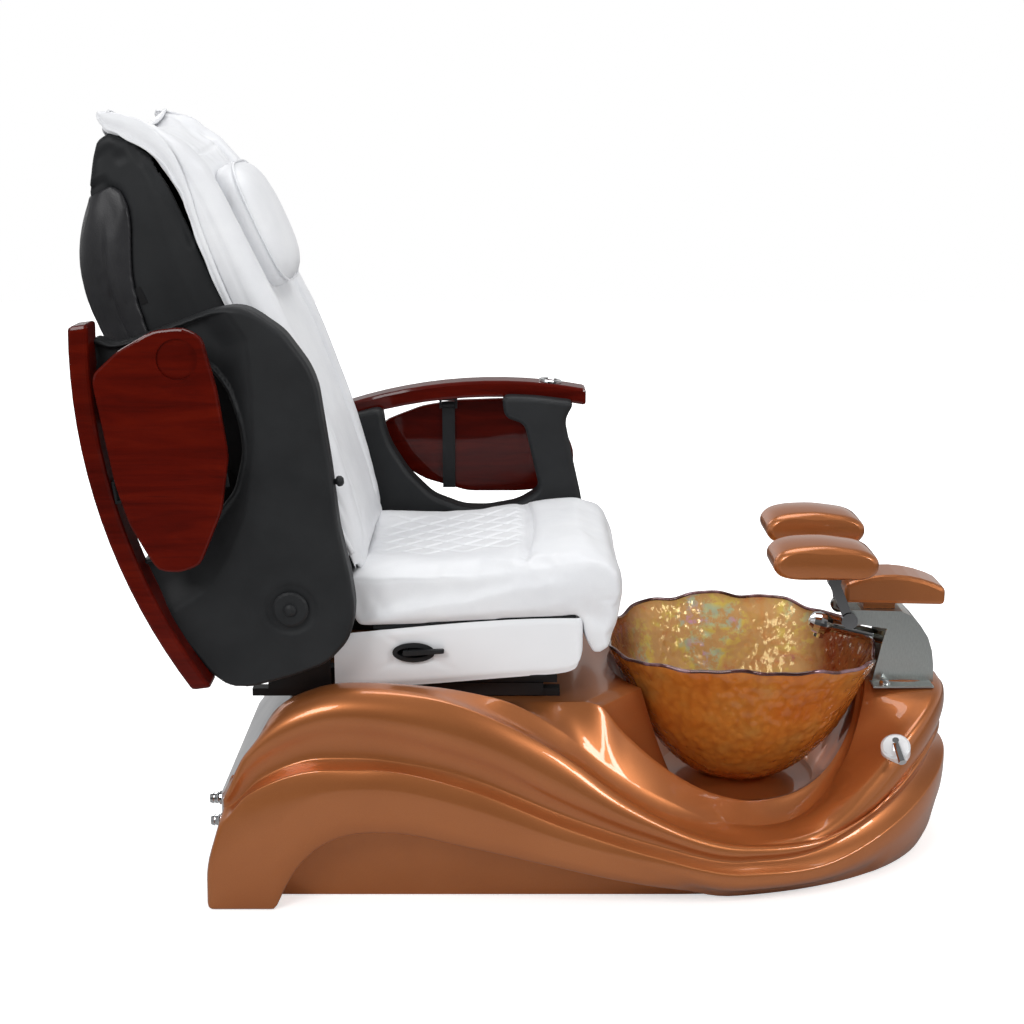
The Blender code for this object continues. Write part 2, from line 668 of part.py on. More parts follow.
# ---------------------------------------------------------------- footrest
BRACKET_FOOT_Z = 0.3051
STRIP_TOP = 0.4468          # strip across the bracket that the centre pad is screwed to
BRACKET = from_tip([(-0.116, BRACKET_FOOT_Z), (-0.100, 0.384), (-0.092, 0.412), (-0.140, 0.420),
                    (-0.158, 0.417), (-0.176, 0.424), (-0.178, 0.440), (-0.166, 0.4495),
                    (-0.068, 0.447), (-0.048, 0.438), (-0.028, 0.418), (-0.013, 0.395),
                    (-0.004, 0.368), (0.000, 0.340), (0.001, BRACKET_FOOT_Z)])


def footrest_bracket():
    """One bent stainless sheet: two side plates, a curved front, a top strip and two feet."""
    parts = []
    for sign in (-1, 1):
        y0, y1 = sign * (PLATE_OUT - PLATE_WALL), sign * PLATE_OUT
        parts.append(prism("plate", BRACKET, y0, y1, "stainless"))
        parts.append(block("flange", (TIP_X - 0.120, sign * (PLATE_OUT - PLATE_WALL), BRACKET_FOOT_Z),
                           (TIP_X - 0.005, sign * (PLATE_OUT + 0.034), BRACKET_FOOT_Z + PLATE_WALL), "stainless"))
    wall = PLATE_WALL
    outer = BRACKET[8:]
    inner = [(x - wall * 0.9, z - wall * (0.9 if z > 0.36 else 0.0)) for x, z in outer][::-1]
    inner[0] = (outer[-1][0] - wall, BRACKET_FOOT_Z)
    parts.append(prism("wrap", outer + inner, -PLATE_OUT + 0.001, PLATE_OUT - 0.001, "stainless"))
    inside = PLATE_OUT - 0.001
    parts.append(block("strip", (TIP_X - 0.140, -inside, STRIP_TOP - 0.0025), (TIP_X - 0.065, inside, STRIP_TOP),
                       "stainless"))
    parts.append(block("bulkhead", (SPOUT_END_X, -inside, 0.330), (SPOUT_END_X + wall, inside, 0.420),
                       "stainless"))
    parts[0].name = "footrest_bracket"
    bracket = unite(*parts)
    for sign in (-1, 1):
        hole = rod("hole", (FOOT_PIVOT[0], sign * 0.03, FOOT_PIVOT[1]),
                   (FOOT_PIVOT[0], sign * 0.07, FOOT_PIVOT[1]), FOOT_PIN_R + RUN, "stainless")
        combine(bracket, hole, "DIFFERENCE")
    return bracket


def bracket_nuts():
    z = BRACKET_FOOT_Z + PLATE_WALL + GAP
    profile = [(0, 0), (0.010, 0), (0.010, 0.003), (0.007, 0.0075), (0, 0.009)]
    for sign, side in ((-1, "right"), (1, "left")):
        turned(f"bracket_nut_{side}", profile, (TIP_X - 0.096, sign * (PLATE_OUT + 0.018), z), (0, 0, 1),
               "chrome", sides=18)


PAD_PROFILE = rounded([(-0.135, 0.062), (-0.082, 0.028), (0.030, 0.028), (0.054, 0.048),
                       (0.056, 0.068), (0.030, 0.088), (-0.030, 0.096), (-0.090, 0.086),
                       (-0.130, 0.072)], 0.02, 2)


def footrest_side(sign, side, lean):
    """One swinging arm with its tilting pad; the pad keeps level at rest."""
    x, z = FOOT_PIVOT
    swing = pivot(f"footrest_swing_{side}", x, z, 0.0, lean)
    y0 = sign * (PLATE_OUT + GAP * 2)
    y1 = y0 + sign * FOOT_ARM_WALL
    top = FOOT_ARM_LENGTH
    bar = prism(f"footrest_arm_{side}", rounded([(-0.009, -0.004), (0.009, -0.004), (0.010, top),
                                                 (0.0, top + 0.010), (-0.010, top)], 0.006, 2),
                y0, y1, "chrome", swing)
    disc = rod("disc", (0, y0, 0), (0, y1 + sign * 0.004, 0), 0.0155, "chrome", swing, 24)
    pin = rod("pin", (0, sign * 0.040, 0), (0, y0 + sign * 0.003, 0), FOOT_PIN_R, "chrome", swing, 20)
    pad_pin = rod("pad_pin", (0, y0 + sign * 0.003, top), (0, y1 + sign * 0.006, top), PAD_PIN_R, "chrome",
                  swing, 16)
    unite(bar, disc, pin, pad_pin)
    tilt = pivot(f"footrest_tilt_{side}", 0.0, top, 0.0, -lean, swing)
    lug_in = y1 + sign * GAP * 2
    lug = prism(f"footrest_lug_{side}", rounded([(-0.011, -0.010), (0.011, -0.010), (0.014, 0.0276),
                                                 (-0.014, 0.0276)], 0.006, 2),
                lug_in, lug_in + sign * 0.022, "chrome", tilt)
    hole = rod("hole", (0, y0, 0), (0, lug_in + sign * 0.02, 0), PAD_PIN_R + RUN, "chrome", tilt, 16)
    combine(lug, hole, "DIFFERENCE")
    outer = sign * (PAD_IN + PAD_WIDTH)
    prism(f"footrest_pad_{side}", PAD_PROFILE, sign * PAD_IN, outer, "copper", tilt, 0.012, 2)


def centre_pad():
    top = arc_points(*from_tip([(-0.174, 0.498), (-0.080, 0.516), (0.017, 0.490)]), 9)
    body = prism("footrest_centre_pad", from_tip([(-0.174, 0.461), (0.017, 0.457)]) + top[::-1],
                 -0.046, 0.046, "copper", None, 0.008, 2)
    foot = block("foot", (TIP_X - 0.135, -0.030, STRIP_TOP + GAP), (TIP_X - 0.075, 0.030, 0.470), "copper")
    return unite(body, foot)


# ---------------------------------------------------------------- seat carriage
RAIL_Z = DECK_HEIGHT + GAP
SLIDER_Z = RAIL_Z + RAIL_HEIGHT + GAP
FRAME_BOTTOM = SLIDER_Z + 0.012 + GAP


def slide_rails(carriage):
    """Fixed rails on the deck, and the moving rails that straddle them."""
    half = RAIL_WIDTH / 2
    for sign, side in ((-1, "right"), (1, "left")):
        y = sign * RAIL_Y
        block(f"slide_rail_{side}", (-0.500, y - half, RAIL_Z), (0.060, y + half, RAIL_Z + RAIL_HEIGHT),
              "stainless")
        wide = half + RUN + 0.004
        top = block(f"slide_runner_{side}", (-0.470, y - wide, SLIDER_Z), (0.030, y + wide, SLIDER_Z + 0.012),
                    "stainless", carriage)
        for edge in (-1, 1):
            y0, y1 = y + edge * (half + RUN), y + edge * wide
            lip = block("lip", (-0.470, min(y0, y1), RAIL_Z + 0.003), (0.030, max(y0, y1), SLIDER_Z + 0.001),
                        "stainless", carriage)
            combine(top, lip)


CHEEK = [(-0.462, FRAME_BOTTOM), (-0.352, FRAME_BOTTOM),
         *on_deck([(-0.352, 0.135), (-0.3185, 0.143), (-0.3185, 0.177), (-0.340, 0.195),
                   (-0.375, 0.237), (-0.430, 0.237), (-0.450, 0.205)])]


ACTUATOR_MOUNT = (-0.005, DECK_HEIGHT + 0.095)
EYE_HALF = 0.005            # half the width of the actuator's eye
ACTUATOR_PIN_R = 0.004
ACTUATOR_ROD_R = 0.0085


def seat_frame(carriage):
    """Welded frame: cheek plates with the armrest pins, side tubes and cross tubes."""
    parts = []
    low, high = FRAME_BOTTOM, FRAME_BOTTOM + TUBE
    for sign in (-1, 1):
        cheek = prism("cheek", CHEEK, sign * CHEEK_IN, sign * (CHEEK_IN + CHEEK_WALL), "steel", carriage)
        hole = rod("hole", (BACK_PIVOT[0], sign * 0.2, BACK_PIVOT[1]),
                   (BACK_PIVOT[0], sign * 0.3, BACK_PIVOT[1]), BACK_PIN_R + RUN, "steel", carriage)
        combine(cheek, hole, "DIFFERENCE")
        parts.append(cheek)
        y = sign * RAIL_Y
        parts.append(block("side", (-0.455, y - TUBE / 2, low), (0.055, y + TUBE / 2, high),
                           "steel", carriage))
        parts.append(side_block("tie", sign, (-0.450, RAIL_Y - 0.010, low + 0.001),
                                (-0.425, CHEEK_IN + 0.003, high - 0.001), "steel", carriage))
        pin_in, pin_out = sign * (CHEEK_IN + 0.002), sign * (ARM_OUT - 0.004)
        parts.append(rod("pin", (ARM_PIVOT[0], pin_in, ARM_PIVOT[1]), (ARM_PIVOT[0], pin_out, ARM_PIVOT[1]),
                         ARM_PIN_R, "steel", carriage, 24))
        parts.append(rod("collar", (ARM_PIVOT[0], pin_in, ARM_PIVOT[1]),
                         (ARM_PIVOT[0], sign * (ARM_IN - RUN), ARM_PIVOT[1]), 0.020, "steel", carriage, 24))
    for x in (-0.420, -0.100, 0.035):
        parts.append(block("cross", (x - TUBE / 2, -RAIL_Y, low + 0.002),
                           (x + TUBE / 2, RAIL_Y, high - 0.002), "steel", carriage))
    for sign in (-1, 1):
        for x in (-0.23, 0.02):
            parts.append(side_block("riser", sign, (x - 0.012, RAIL_Y - 0.012, high - 0.004),
                                    (x + 0.012, RAIL_Y + 0.012, seat_floor(x - 0.012) - GAP),
                                    "steel", carriage))
    wall_face = SEAT_HALF - BOX_WALL - GAP
    for sign in (-1, 1):
        for x in (-0.245, 0.005):
            parts.append(side_block("tab", sign, (x, RAIL_Y - 0.012, high - 0.007),
                                    (x + 0.030, wall_face, high - 0.003), "steel", carriage))
    x, z = ACTUATOR_MOUNT
    lug = [(x - 0.007, z - 0.007), (x - 0.007, z + 0.007), (x + 0.007, z + 0.007), (x + 0.052, high + 0.002),
           (x + 0.052, high - 0.006), (x + 0.032, high - 0.006), (x + 0.009, z - 0.007)]
    for sign in (-1, 1):
        parts.append(prism("lug", lug, sign * (EYE_HALF + RUN), sign * (EYE_HALF + 0.0035), "steel",
                           carriage))
    parts.append(rod("mount_pin", (x, -EYE_HALF - 0.002, z), (x, EYE_HALF + 0.002, z), ACTUATOR_PIN_R,
                     "steel", carriage, 16))
    parts[0].name = "seat_frame"
    return unite(*parts)


# the seat is tipped up a little towards the front
CUSHION_BOTTOM = on_deck([(-0.285, 0.152), (0.094, 0.174)])


def seat_floor(x):
    (x0, z0), (x1, z1) = CUSHION_BOTTOM
    return z0 + (z1 - z0) * (x - x0) / (x1 - x0)


BOX_SIDE = rounded(on_deck([(-0.345, 0.0355), (0.066, 0.063), (0.095, 0.075), (0.096, 0.165),
                            (0.080, 0.168), (-0.317, 0.1315), (-0.345, 0.105)]), 0.012)
LEVER_PIVOT = (-0.218, DECK_HEIGHT + 0.0975)
CUP_CENTRE = (-0.203, DECK_HEIGHT + 0.096)
CUP_RADII = (0.036, 0.016)
CUP_DEPTH = 0.027


def oval(centre, radii, steps=28):
    return [(centre[0] + radii[0] * math.cos(2 * math.pi * k / steps),
             centre[1] + radii[1] * math.sin(2 * math.pi * k / steps)) for k in range(steps)]


def seat_box(carriage):
    """White surround under the cushion: two sides and a front, open above, below and behind."""
    box = prism("seat_box", BOX_SIDE, -SEAT_HALF, SEAT_HALF, "white_plastic", carriage, 0.003, 2)
    inside = SEAT_HALF - BOX_WALL
    hollow = block("hollow", (-0.40, -inside, DECK_HEIGHT - 0.035),
                   (0.096 - BOX_WALL, inside, DECK_HEIGHT + 0.215),
                   "white_plastic", carriage)
    combine(box, hollow, "DIFFERENCE")
    window = prism("window", oval(CUP_CENTRE, (CUP_RADII[0] - 0.002, CUP_RADII[1] - 0.002)),
                   -SEAT_HALF - 0.02, -SEAT_HALF + 0.02, "white_plastic", carriage)
    combine(box, window, "DIFFERENCE")
    return box


def slide_lever(carriage):
    """Lever in a recessed cup on the right of the seat; lifting it frees the slide."""
    face = -SEAT_HALF - GAP
    cup = prism("lever_cup", oval(CUP_CENTRE, (CUP_RADII[0] + 0.002, CUP_RADII[1] + 0.002)),
                face - 0.003, face, "black_plastic", carriage)
    sleeve_radii = (CUP_RADII[0] - 0.0035, CUP_RADII[1] - 0.0035)
    combine(cup, prism("sleeve", oval(CUP_CENTRE, sleeve_radii), face - 0.001, face + CUP_DEPTH + 0.003,
                       "black_plastic", carriage))
    inner = (sleeve_radii[0] - 0.003, sleeve_radii[1] - 0.003)
    combine(cup, prism("inside", oval(CUP_CENTRE, inner), face - 0.02, face + CUP_DEPTH,
                       "black_plastic", carriage), "DIFFERENCE")
    hinge = pivot("slide_lever_hinge", LEVER_PIVOT[0], LEVER_PIVOT[1], 0.0, 0.0, carriage)
    blade = rounded([(-0.004, -0.004), (0.004, -0.0045), (0.070, 0.000), (0.070, 0.007), (0.004, 0.0045),
                     (-0.004, 0.004)], 0.003, 2)
    lever = prism("slide_lever", blade, face - 0.013, face - 0.0035 - RUN, "black_plastic", hinge)
    stem = rod("stem", (0, face - 0.008, 0), (0, face + CUP_DEPTH - GAP, 0), 0.0035, "black_plastic",
               hinge, 12)
    return unite(lever, stem)


CUSHION_TOP = on_deck([(0.103, 0.135), (0.114, 0.103), (0.136, 0.101), (0.152, 0.117), (0.164, 0.165),
                       (0.172, 0.215), (0.170, 0.250), (0.150, 0.272), (0.110, 0.281), (0.050, 0.275),
                       (-0.100, 0.250), (-0.300, 0.221), (-0.3165, 0.205), (-0.3165, 0.170)])
CUSHION_SIDE = rounded(CUSHION_BOTTOM + CUSHION_TOP, 0.014, 2)


def seat_cushion(carriage):
    return prism("seat_cushion", CUSHION_SIDE, -CUSHION_HALF, CUSHION_HALF, "white_leather", carriage,
                 0.020, 2)


# ---------------------------------------------------------------- backrest, in its own leaning frame
# Local x points out of the front of the back and local z runs up it, from the recline pivot.
SHELL_FRONT = [(0.044, 0.075), (0.044, 0.790), (0.036, 0.845), (0.014, 0.888), (-0.018, 0.918)]
SHELL_REAR = [(-0.085, 0.840), (-0.105, 0.750), (-0.125, 0.600), (-0.134, 0.400), (-0.128, 0.150)]
SHELL_BACK = [*SHELL_FRONT, (-0.058, 0.893), *SHELL_REAR, (-0.105, 0.060), (0.020, 0.060)]
PAD_REAR = [(-0.150, 0.230), (-0.166, 0.400), (-0.172, 0.600), (-0.171, 0.700), (-0.152, 0.757),
            (-0.124, 0.802), (-0.104, 0.818)]
CUSHION_FACE = [(0.088, 0.088), (0.112, 0.140), (0.122, 0.240), (0.129, 0.350), (0.130, 0.480),
                (0.126, 0.600), (0.123, 0.720), (0.120, 0.800), (0.098, 0.868), (0.068, 0.912),
                (0.034, 0.938), (0.000, 0.952), (-0.024, 0.938)]
PILLOW_FACE = [(0.150, 0.566), (0.178, 0.566), (0.198, 0.590), (0.208, 0.650), (0.208, 0.725),
               (0.196, 0.775), (0.176, 0.797), (0.150, 0.792)]
BACK_TUBE = 0.020
BACK_TUBE_Y = BACK_HALF - 0.035
TUBE_N = -0.070             # depth of the back frame's tubes behind the pivot
CARRIAGE_W = 0.45           # height of the massage carriage at rest
ROLLER_PIN_R = 0.004


def depth_at(line, height):
    """Depth of a line of (depth, height) points at a height, straight between its points."""
    line = sorted(line, key=lambda point: point[1])
    for (n0, w0), (n1, w1) in zip(line, line[1:]):
        if w0 <= height <= w1:
            return n0 + (n1 - n0) * (height - w0) / (w1 - w0)


def beside(line, distance):
    """A line moved sideways, to the left of the way it runs."""
    moved = []
    for k, point in enumerate(line):
        before, after = Vector(line[max(k - 1, 0)]), Vector(line[min(k + 1, len(line) - 1)])
        middle = Vector(point)
        sides = [v.normalized().orthogonal() for v in (middle - before, after - middle) if v.length]
        normal = sum(sides, Vector((0.0, 0.0))).normalized()
        moved.append(tuple(middle + normal * distance / normal.dot(sides[0])))
    return moved


def back_frame(back):
    half = BACK_TUBE / 2
    parts = []
    for sign in (-1, 1):
        y = sign * BACK_TUBE_Y
        parts.append(block("side", (TUBE_N - half, y - half, 0.080), (TUBE_N + half, y + half, 0.800),
                           "steel", back))
        ear = [(TUBE_N - half, 0.140), (TUBE_N - half, 0.085), (-0.016, -0.014), (0.014, -0.014),
               (0.016, 0.014), (TUBE_N + half, 0.140)]
        parts.append(prism("ear", ear, y - 0.003, y + 0.003, "steel", back))
        parts.append(rod("pin", (0, y - sign * 0.002, 0), (0, sign * (CHEEK_IN + CHEEK_WALL + 0.002), 0),
                         BACK_PIN_R, "steel", back, 20))
        parts.append(block("track", (TUBE_N + half - 0.002, sign * 0.070 - 0.006, 0.105),
                           (TUBE_N + half + 0.010, sign * 0.070 + 0.006, 0.790), "steel", back))
    wall_face = BACK_HALF - BACK_SHELL_WALL - GAP
    for sign in (-1, 1):
        for w in (0.300, 0.650):
            parts.append(side_block("tab", sign, (TUBE_N - 0.006, BACK_TUBE_Y, w - 0.015),
                                    (TUBE_N + 0.006, wall_face, w + 0.015), "steel", back))
    for w in (0.110, 0.780):
        parts.append(block("cross", (TUBE_N - half + 0.001, -BACK_TUBE_Y, w - half),
                           (TUBE_N + half - 0.001, BACK_TUBE_Y, w + half), "steel", back))
    lever = [(TUBE_N - 0.006, 0.118), (TUBE_N - 0.006, 0.102), (-0.010, -0.010), (-0.008, LEVER_W - 0.009),
             (0.008, LEVER_W - 0.009), (0.010, 0.010), (TUBE_N + 0.016, 0.118)]
    parts.append(prism("lever", lever, -0.004, 0.004, "steel", back))
    parts[0].name = "back_frame"
    return unite(*parts)


LEVER_W = -0.060            # where the recline actuator pulls, below the pivot


def back_shell(back):
    shell = prism("back_shell", SHELL_BACK, -BACK_HALF, BACK_HALF, "black_plastic", back)
    soften(shell, 0.022, 3, 50.0)
    wall = BACK_SHELL_WALL
    inside = [(0.20, 0.0), (0.20, 0.870), (0.010, 0.872), (-0.020, 0.896), (-0.050, 0.875),
              (-0.078, 0.830), (-0.099, 0.745), (-0.119, 0.600), (-0.1275, 0.400), (-0.1220, 0.150),
              (-0.104, 0.075), (-0.104, 0.0)]
    hollow = prism("hollow", inside, -BACK_HALF + wall, BACK_HALF - wall, "black_plastic", back)
    soften(hollow, 0.018, 2, 50.0)
    return combine(shell, hollow, "DIFFERENCE")


def back_soft_parts(back):
    seat = [(depth_at(SHELL_REAR, w) - GAP, w) for w in (0.818, 0.750, 0.600, 0.400, 0.220)]
    prism("back_pad", seat + rounded(PAD_REAR, 0.01, 2), -0.205, 0.205, "black_leather", back, 0.012, 2)
    rear = beside(SHELL_FRONT, -GAP)[::-1]
    prism("back_cushion", CUSHION_FACE + rear, -BACK_CUSHION_HALF, BACK_CUSHION_HALF,
          "white_leather", back, 0.010, 2)
    rest = [(depth_at(CUSHION_FACE, w) + GAP, w) for w in (0.765, 0.720, 0.600, 0.575)]
    prism("head_pillow", rest + rounded(PILLOW_FACE, 0.012, 2), -PILLOW_HALF, PILLOW_HALF,
          "white_leather", back, 0.024, 2)


def massage_unit(back):
    """Carriage that climbs the back frame's tracks, with a turning roller bar in front."""
    front = TUBE_N + BACK_TUBE / 2 + 0.010 + GAP
    level = pivot("massage_level", 0.0, CARRIAGE_W, 0.0, 0.0, back)
    plate = block("massage_carriage", (front, -0.095, -0.050), (front + 0.006, 0.095, 0.050), "steel", level)
    motor = block("motor", (front + 0.005, -0.030, -0.040), (front + 0.026, 0.030, 0.005), "steel", level)
    parts = [plate, motor]
    for sign in (-1, 1):
        y = sign * 0.085
        parts.append(prism("fork", [(front + 0.003, -0.012), (front + 0.042, -0.010), (front + 0.046, 0.0),
                                    (front + 0.042, 0.010), (front + 0.003, 0.012)], y - 0.003, y + 0.003,
                           "steel", level))
    carriage = unite(*parts)
    reach = front + 0.036
    for sign in (-1, 1):
        hole = rod("hole", (reach, sign * 0.07, 0), (reach, sign * 0.10, 0), ROLLER_PIN_R + RUN, "steel",
                   level, 16)
        combine(carriage, hole, "DIFFERENCE")
    spin = pivot("roller_axis", reach, 0.0, 0.0, 0.0, level)
    bar = rod("massage_roller", (0, -0.092, 0), (0, 0.092, 0), ROLLER_PIN_R, "rubber", spin, 16)
    for sign in (-1, 1):
        y0, y1 = sign * 0.045, sign * 0.078
        combine(bar, rod("wheel", (0, y0, 0), (0, y1, 0), 0.021, "rubber", spin, 20))


def actuator(carriage):
    """Recline motor on the seat frame; its rod pulls the lever under the back pivot."""
    lean = math.radians(BACK_LEAN)
    lever_x = BACK_PIVOT[0] - LEVER_W * math.sin(lean)
    lever_z = BACK_PIVOT[1] + LEVER_W * math.cos(lean)
    mount_x, mount_z = ACTUATOR_MOUNT
    level = math.degrees(math.atan2(lever_z - mount_z, mount_x - lever_x))
    reach = math.hypot(lever_z - mount_z, mount_x - lever_x)
    hinge = pivot("actuator_hinge", mount_x, mount_z, 0.0, level, carriage)
    tube = rod("recline_actuator", (-0.022, 0, 0), (-0.190, 0, 0), 0.015, "steel", hinge, 20)
    motor = rod("motor", (-0.040, 0, -0.012), (-0.040, 0, 0.028), 0.019, "steel", hinge, 20)
    eye = prism("eye", rounded([(-0.03, -0.008), (0.008, -0.008), (0.008, 0.008), (-0.03, 0.008)], 0.006, 2),
                -EYE_HALF, EYE_HALF, "steel", hinge)
    unite(tube, motor, eye)
    combine(tube, rod("eye_bore", (0, -0.01, 0), (0, 0.01, 0), ACTUATOR_PIN_R + RUN, "steel", hinge, 16),
            "DIFFERENCE")
    combine(tube, rod("bore", (-0.078, 0, 0), (-0.20, 0, 0), ACTUATOR_ROD_R + RUN, "steel", hinge),
            "DIFFERENCE")
    shaft = rod("recline_rod", (-0.107, 0, 0), (-reach + 0.028, 0, 0), ACTUATOR_ROD_R, "chrome", hinge, 20)
    fork = block("fork", (-reach + 0.018, -0.013, -0.010), (-reach + 0.030, 0.013, 0.010), "chrome", hinge)
    tines = [block("tine", (-reach - 0.008, y - 0.0025, -0.008), (-reach + 0.020, y + 0.0025, 0.008),
                   "chrome", hinge) for y in (-0.0100, 0.0100)]
    unite(shaft, fork, *tines)


# ---------------------------------------------------------------- armrests, in their own frame
# Local x runs forward and z up from the armrest pivot, with the armrest down.
PLANK_TOP = ((-0.112, 0.186), (0.250, 0.292), (0.535, 0.280))


def plank_top(x):
    """Height of the plank's top face above the armrest pivot."""
    return smooth_value(arc_points(*PLANK_TOP, 25), x)


def under_plank(x):
    return plank_top(x) - PLANK_THICK


ARM_WINDOW = [(0.368, 0.225), (0.408, 0.214), (0.440, 0.075), (0.395, 0.048), (0.330, 0.036), (0.282, 0.038),
              (0.220, 0.062), (0.170, 0.112), (0.135, 0.168), (0.122, 0.205)]
ARM_EDGE = [(-0.113, 0.0), (-0.094, -0.058), (-0.028, -0.106), (0.025, -0.114), (0.379, -0.112),
            (0.414, -0.106), (0.480, -0.070), (0.525, -0.029), (0.531, -0.005), (0.528, 0.050),
            (0.510, 0.130), (0.489, 0.222), (0.512, 0.236)]


def armrest_shell(frame, sign, side):
    """Moulded side panel whose window is closed above by the wooden plank."""
    top_rear = [(x, under_plank(x) - GAP) for x in (0.118, 0.040, -0.030, -0.098)]
    top_front = [(x, under_plank(x) - GAP) for x in (0.512, 0.440, 0.362)]
    outline = ARM_EDGE[:-1] + top_front + ARM_WINDOW + top_rear + [(-0.122, 0.120), (-0.127, 0.070)]
    shell = prism(f"armrest_shell_{side}", outline, sign * ARM_IN, sign * ARM_OUT, "black_plastic", frame,
                  0.007, 2)
    bore = rod("bore", (0, sign * 0.2, 0), (0, sign * (ARM_OUT - 0.002), 0), ARM_PIN_R + RUN, "black_plastic",
               frame, 24)
    combine(shell, bore, "DIFFERENCE")
    knob = [(0, -0.004), (0.005, -0.004), (0.005, 0.006), (0.009, 0.009), (0.009, 0.015), (0.005, 0.019),
            (0, 0.019)]
    middle = sign * (ARM_IN + ARM_OUT) / 2
    stud = turned("knob", knob, (0.207, middle, -0.1132), (0, 0, -1), "black_plastic", frame, 18)
    return unite(shell, stud)


def armrest_plank(frame, sign, side):
    top = arc_points(*PLANK_TOP, 17)
    bottom = [(x, z - PLANK_THICK) for x, z in top[::-1]]
    return prism(f"armrest_plank_{side}", top + bottom, sign * PLANK_IN, sign * PLANK_OUT, "wood", frame,
                 0.006, 2)


TRAY = [(0.112, 0.200), (0.104, 0.165), (0.112, 0.128), (0.200, 0.076), (0.290, 0.050), (0.400, 0.050),
        (0.492, 0.060), (0.512, 0.088), (0.513, 0.138), (0.488, 0.200), (0.456, 0.246), (0.440, 0.251),
        (0.266, 0.245), (0.195, 0.233), (0.142, 0.213)]
CUP_SPOT = (0.462, 0.106)
CUP_RADIUS = 0.034


def tray(frame, sign, side):
    """Drop leaf on a slotted bar: it swings up and draws out to clear the plank."""
    y = sign * TRAY_AXIS_Y
    inner, outer = TRAY_AXIS_Y - 0.007, TRAY_AXIS_Y + 0.004
    ends = TRAY_ARM_X - 0.019, TRAY_ARM_X + 0.019
    seat = min(under_plank(x) for x in ends) - GAP
    parts = [side_block("base", sign, (ends[0], TRAY_AXIS_Y - 0.030, seat - 0.004), (ends[1], outer, seat),
                        "steel", frame)]
    for edge in (-1, 1):
        x0, x1 = sorted((TRAY_ARM_X + edge * (TRAY_ARM_WIDTH / 2 + 0.001), TRAY_ARM_X + edge * 0.0185))
        parts.append(side_block("lug", sign, (x0, inner, TRAY_AXIS_Z - 0.007),
                                (x1, outer - 0.0005, seat - 0.001), "steel", frame))
    parts.append(rod("pin", (TRAY_ARM_X - 0.018, y, TRAY_AXIS_Z), (TRAY_ARM_X + 0.018, y, TRAY_AXIS_Z),
                     TRAY_PIN_R, "steel", frame, 14))
    parts[0].name = f"tray_hinge_{side}"
    unite(*parts)

    swing = pivot(f"tray_swing_{side}", TRAY_ARM_X, TRAY_AXIS_Z, y, 0.0, frame)
    half = TRAY_ARM_WIDTH / 2
    bar = side_block(f"tray_arm_{side}", sign, (-half, 0.003, -0.178),
                     (half, TRAY_IN - TRAY_AXIS_Y - GAP, 0.0), "black_plastic", swing)
    knuckle = rod("knuckle", (-half, 0, 0), (half, 0, 0), 0.0068, "black_plastic", swing, 20)
    combine(bar, knuckle)
    combine(bar, rod("bore", (-0.03, 0, 0), (0.03, 0, 0), TRAY_PIN_R + RUN, "black_plastic", swing, 14),
            "DIFFERENCE")

    outline = [(x - TRAY_ARM_X, z - TRAY_AXIS_Z) for x, z in rounded(TRAY, 0.012, 2)]
    y0 = sign * (TRAY_IN - TRAY_AXIS_Y)
    leaf = prism(f"tray_{side}", outline, y0, y0 + sign * TRAY_THICK, "wood", swing, 0.004, 2)
    cup = rod("cup", (CUP_SPOT[0] - TRAY_ARM_X, y0 + sign * (TRAY_THICK - 0.004), CUP_SPOT[1] - TRAY_AXIS_Z),
              (CUP_SPOT[0] - TRAY_ARM_X, y0 + sign * 0.05, CUP_SPOT[1] - TRAY_AXIS_Z), CUP_RADIUS, "wood",
              swing, 28)
    combine(leaf, cup, "DIFFERENCE")


def armrest(carriage, sign, side, fold):
    frame = pivot(f"armrest_fold_{side}", ARM_PIVOT[0], ARM_PIVOT[1], 0.0, -fold, carriage)
    armrest_shell(frame, sign, side)
    armrest_plank(frame, sign, side)
    turned(f"pivot_cap_{side}", [(0, 0), (0.031, 0), (0.031, 0.003), (0.027, 0.006), (0.012, 0.006),
                                 (0.010, 0.010), (0.005, 0.013), (0, 0.014)],
           (0, sign * (ARM_OUT + GAP), 0), (0, sign, 0), "black_plastic", frame, 20)
    tray(frame, sign, side)
    return frame


def controller_ring(frame, sign):
    """Flat chrome ring let into the top of the left plank."""
    x, reach = 0.462, 0.024
    slope = (plank_top(x + reach) - plank_top(x - reach)) / (2 * reach)
    profile = [(0.014, 0), (reach, 0), (reach, 0.003), (0.022, 0.005), (0.016, 0.005), (0.014, 0.003)]
    centre = (x, sign * (PLANK_IN + PLANK_OUT) / 2, plank_top(x) + GAP)
    turned("controller_ring", profile, centre, (-slope, 0, 1), "chrome", frame)


# ---------------------------------------------------------------- assembly
def build():
    clear_scene()
    base_shell()
    rear_panel()
    steel_base_frame()
    levelling_feet()
    bowl()
    plumbing()
    mixer()
    spout()
    footrest_bracket()
    bracket_nuts()
    footrest_side(-1, "right", FOOT_ARM_LEAN[0])
    footrest_side(1, "left", FOOT_ARM_LEAN[1])
    centre_pad()

    carriage = pivot("seat_slide", 0.0, 0.0)
    slide_rails(carriage)
    seat_frame(carriage)
    seat_box(carriage)
    slide_lever(carriage)
    seat_cushion(carriage)
    back = pivot("recline", BACK_PIVOT[0], BACK_PIVOT[1], 0.0, -BACK_LEAN, carriage)
    back_frame(back)
    back_shell(back)
    back_soft_parts(back)
    massage_unit(back)
    actuator(carriage)
    armrest(carriage, -1, "right", ARM_FOLD)
    left = armrest(carriage, 1, "left", 0.0)
    controller_ring(left, 1)


build()
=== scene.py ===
import math

import bmesh
import bpy
from mathutils import Matrix, Vector, noise


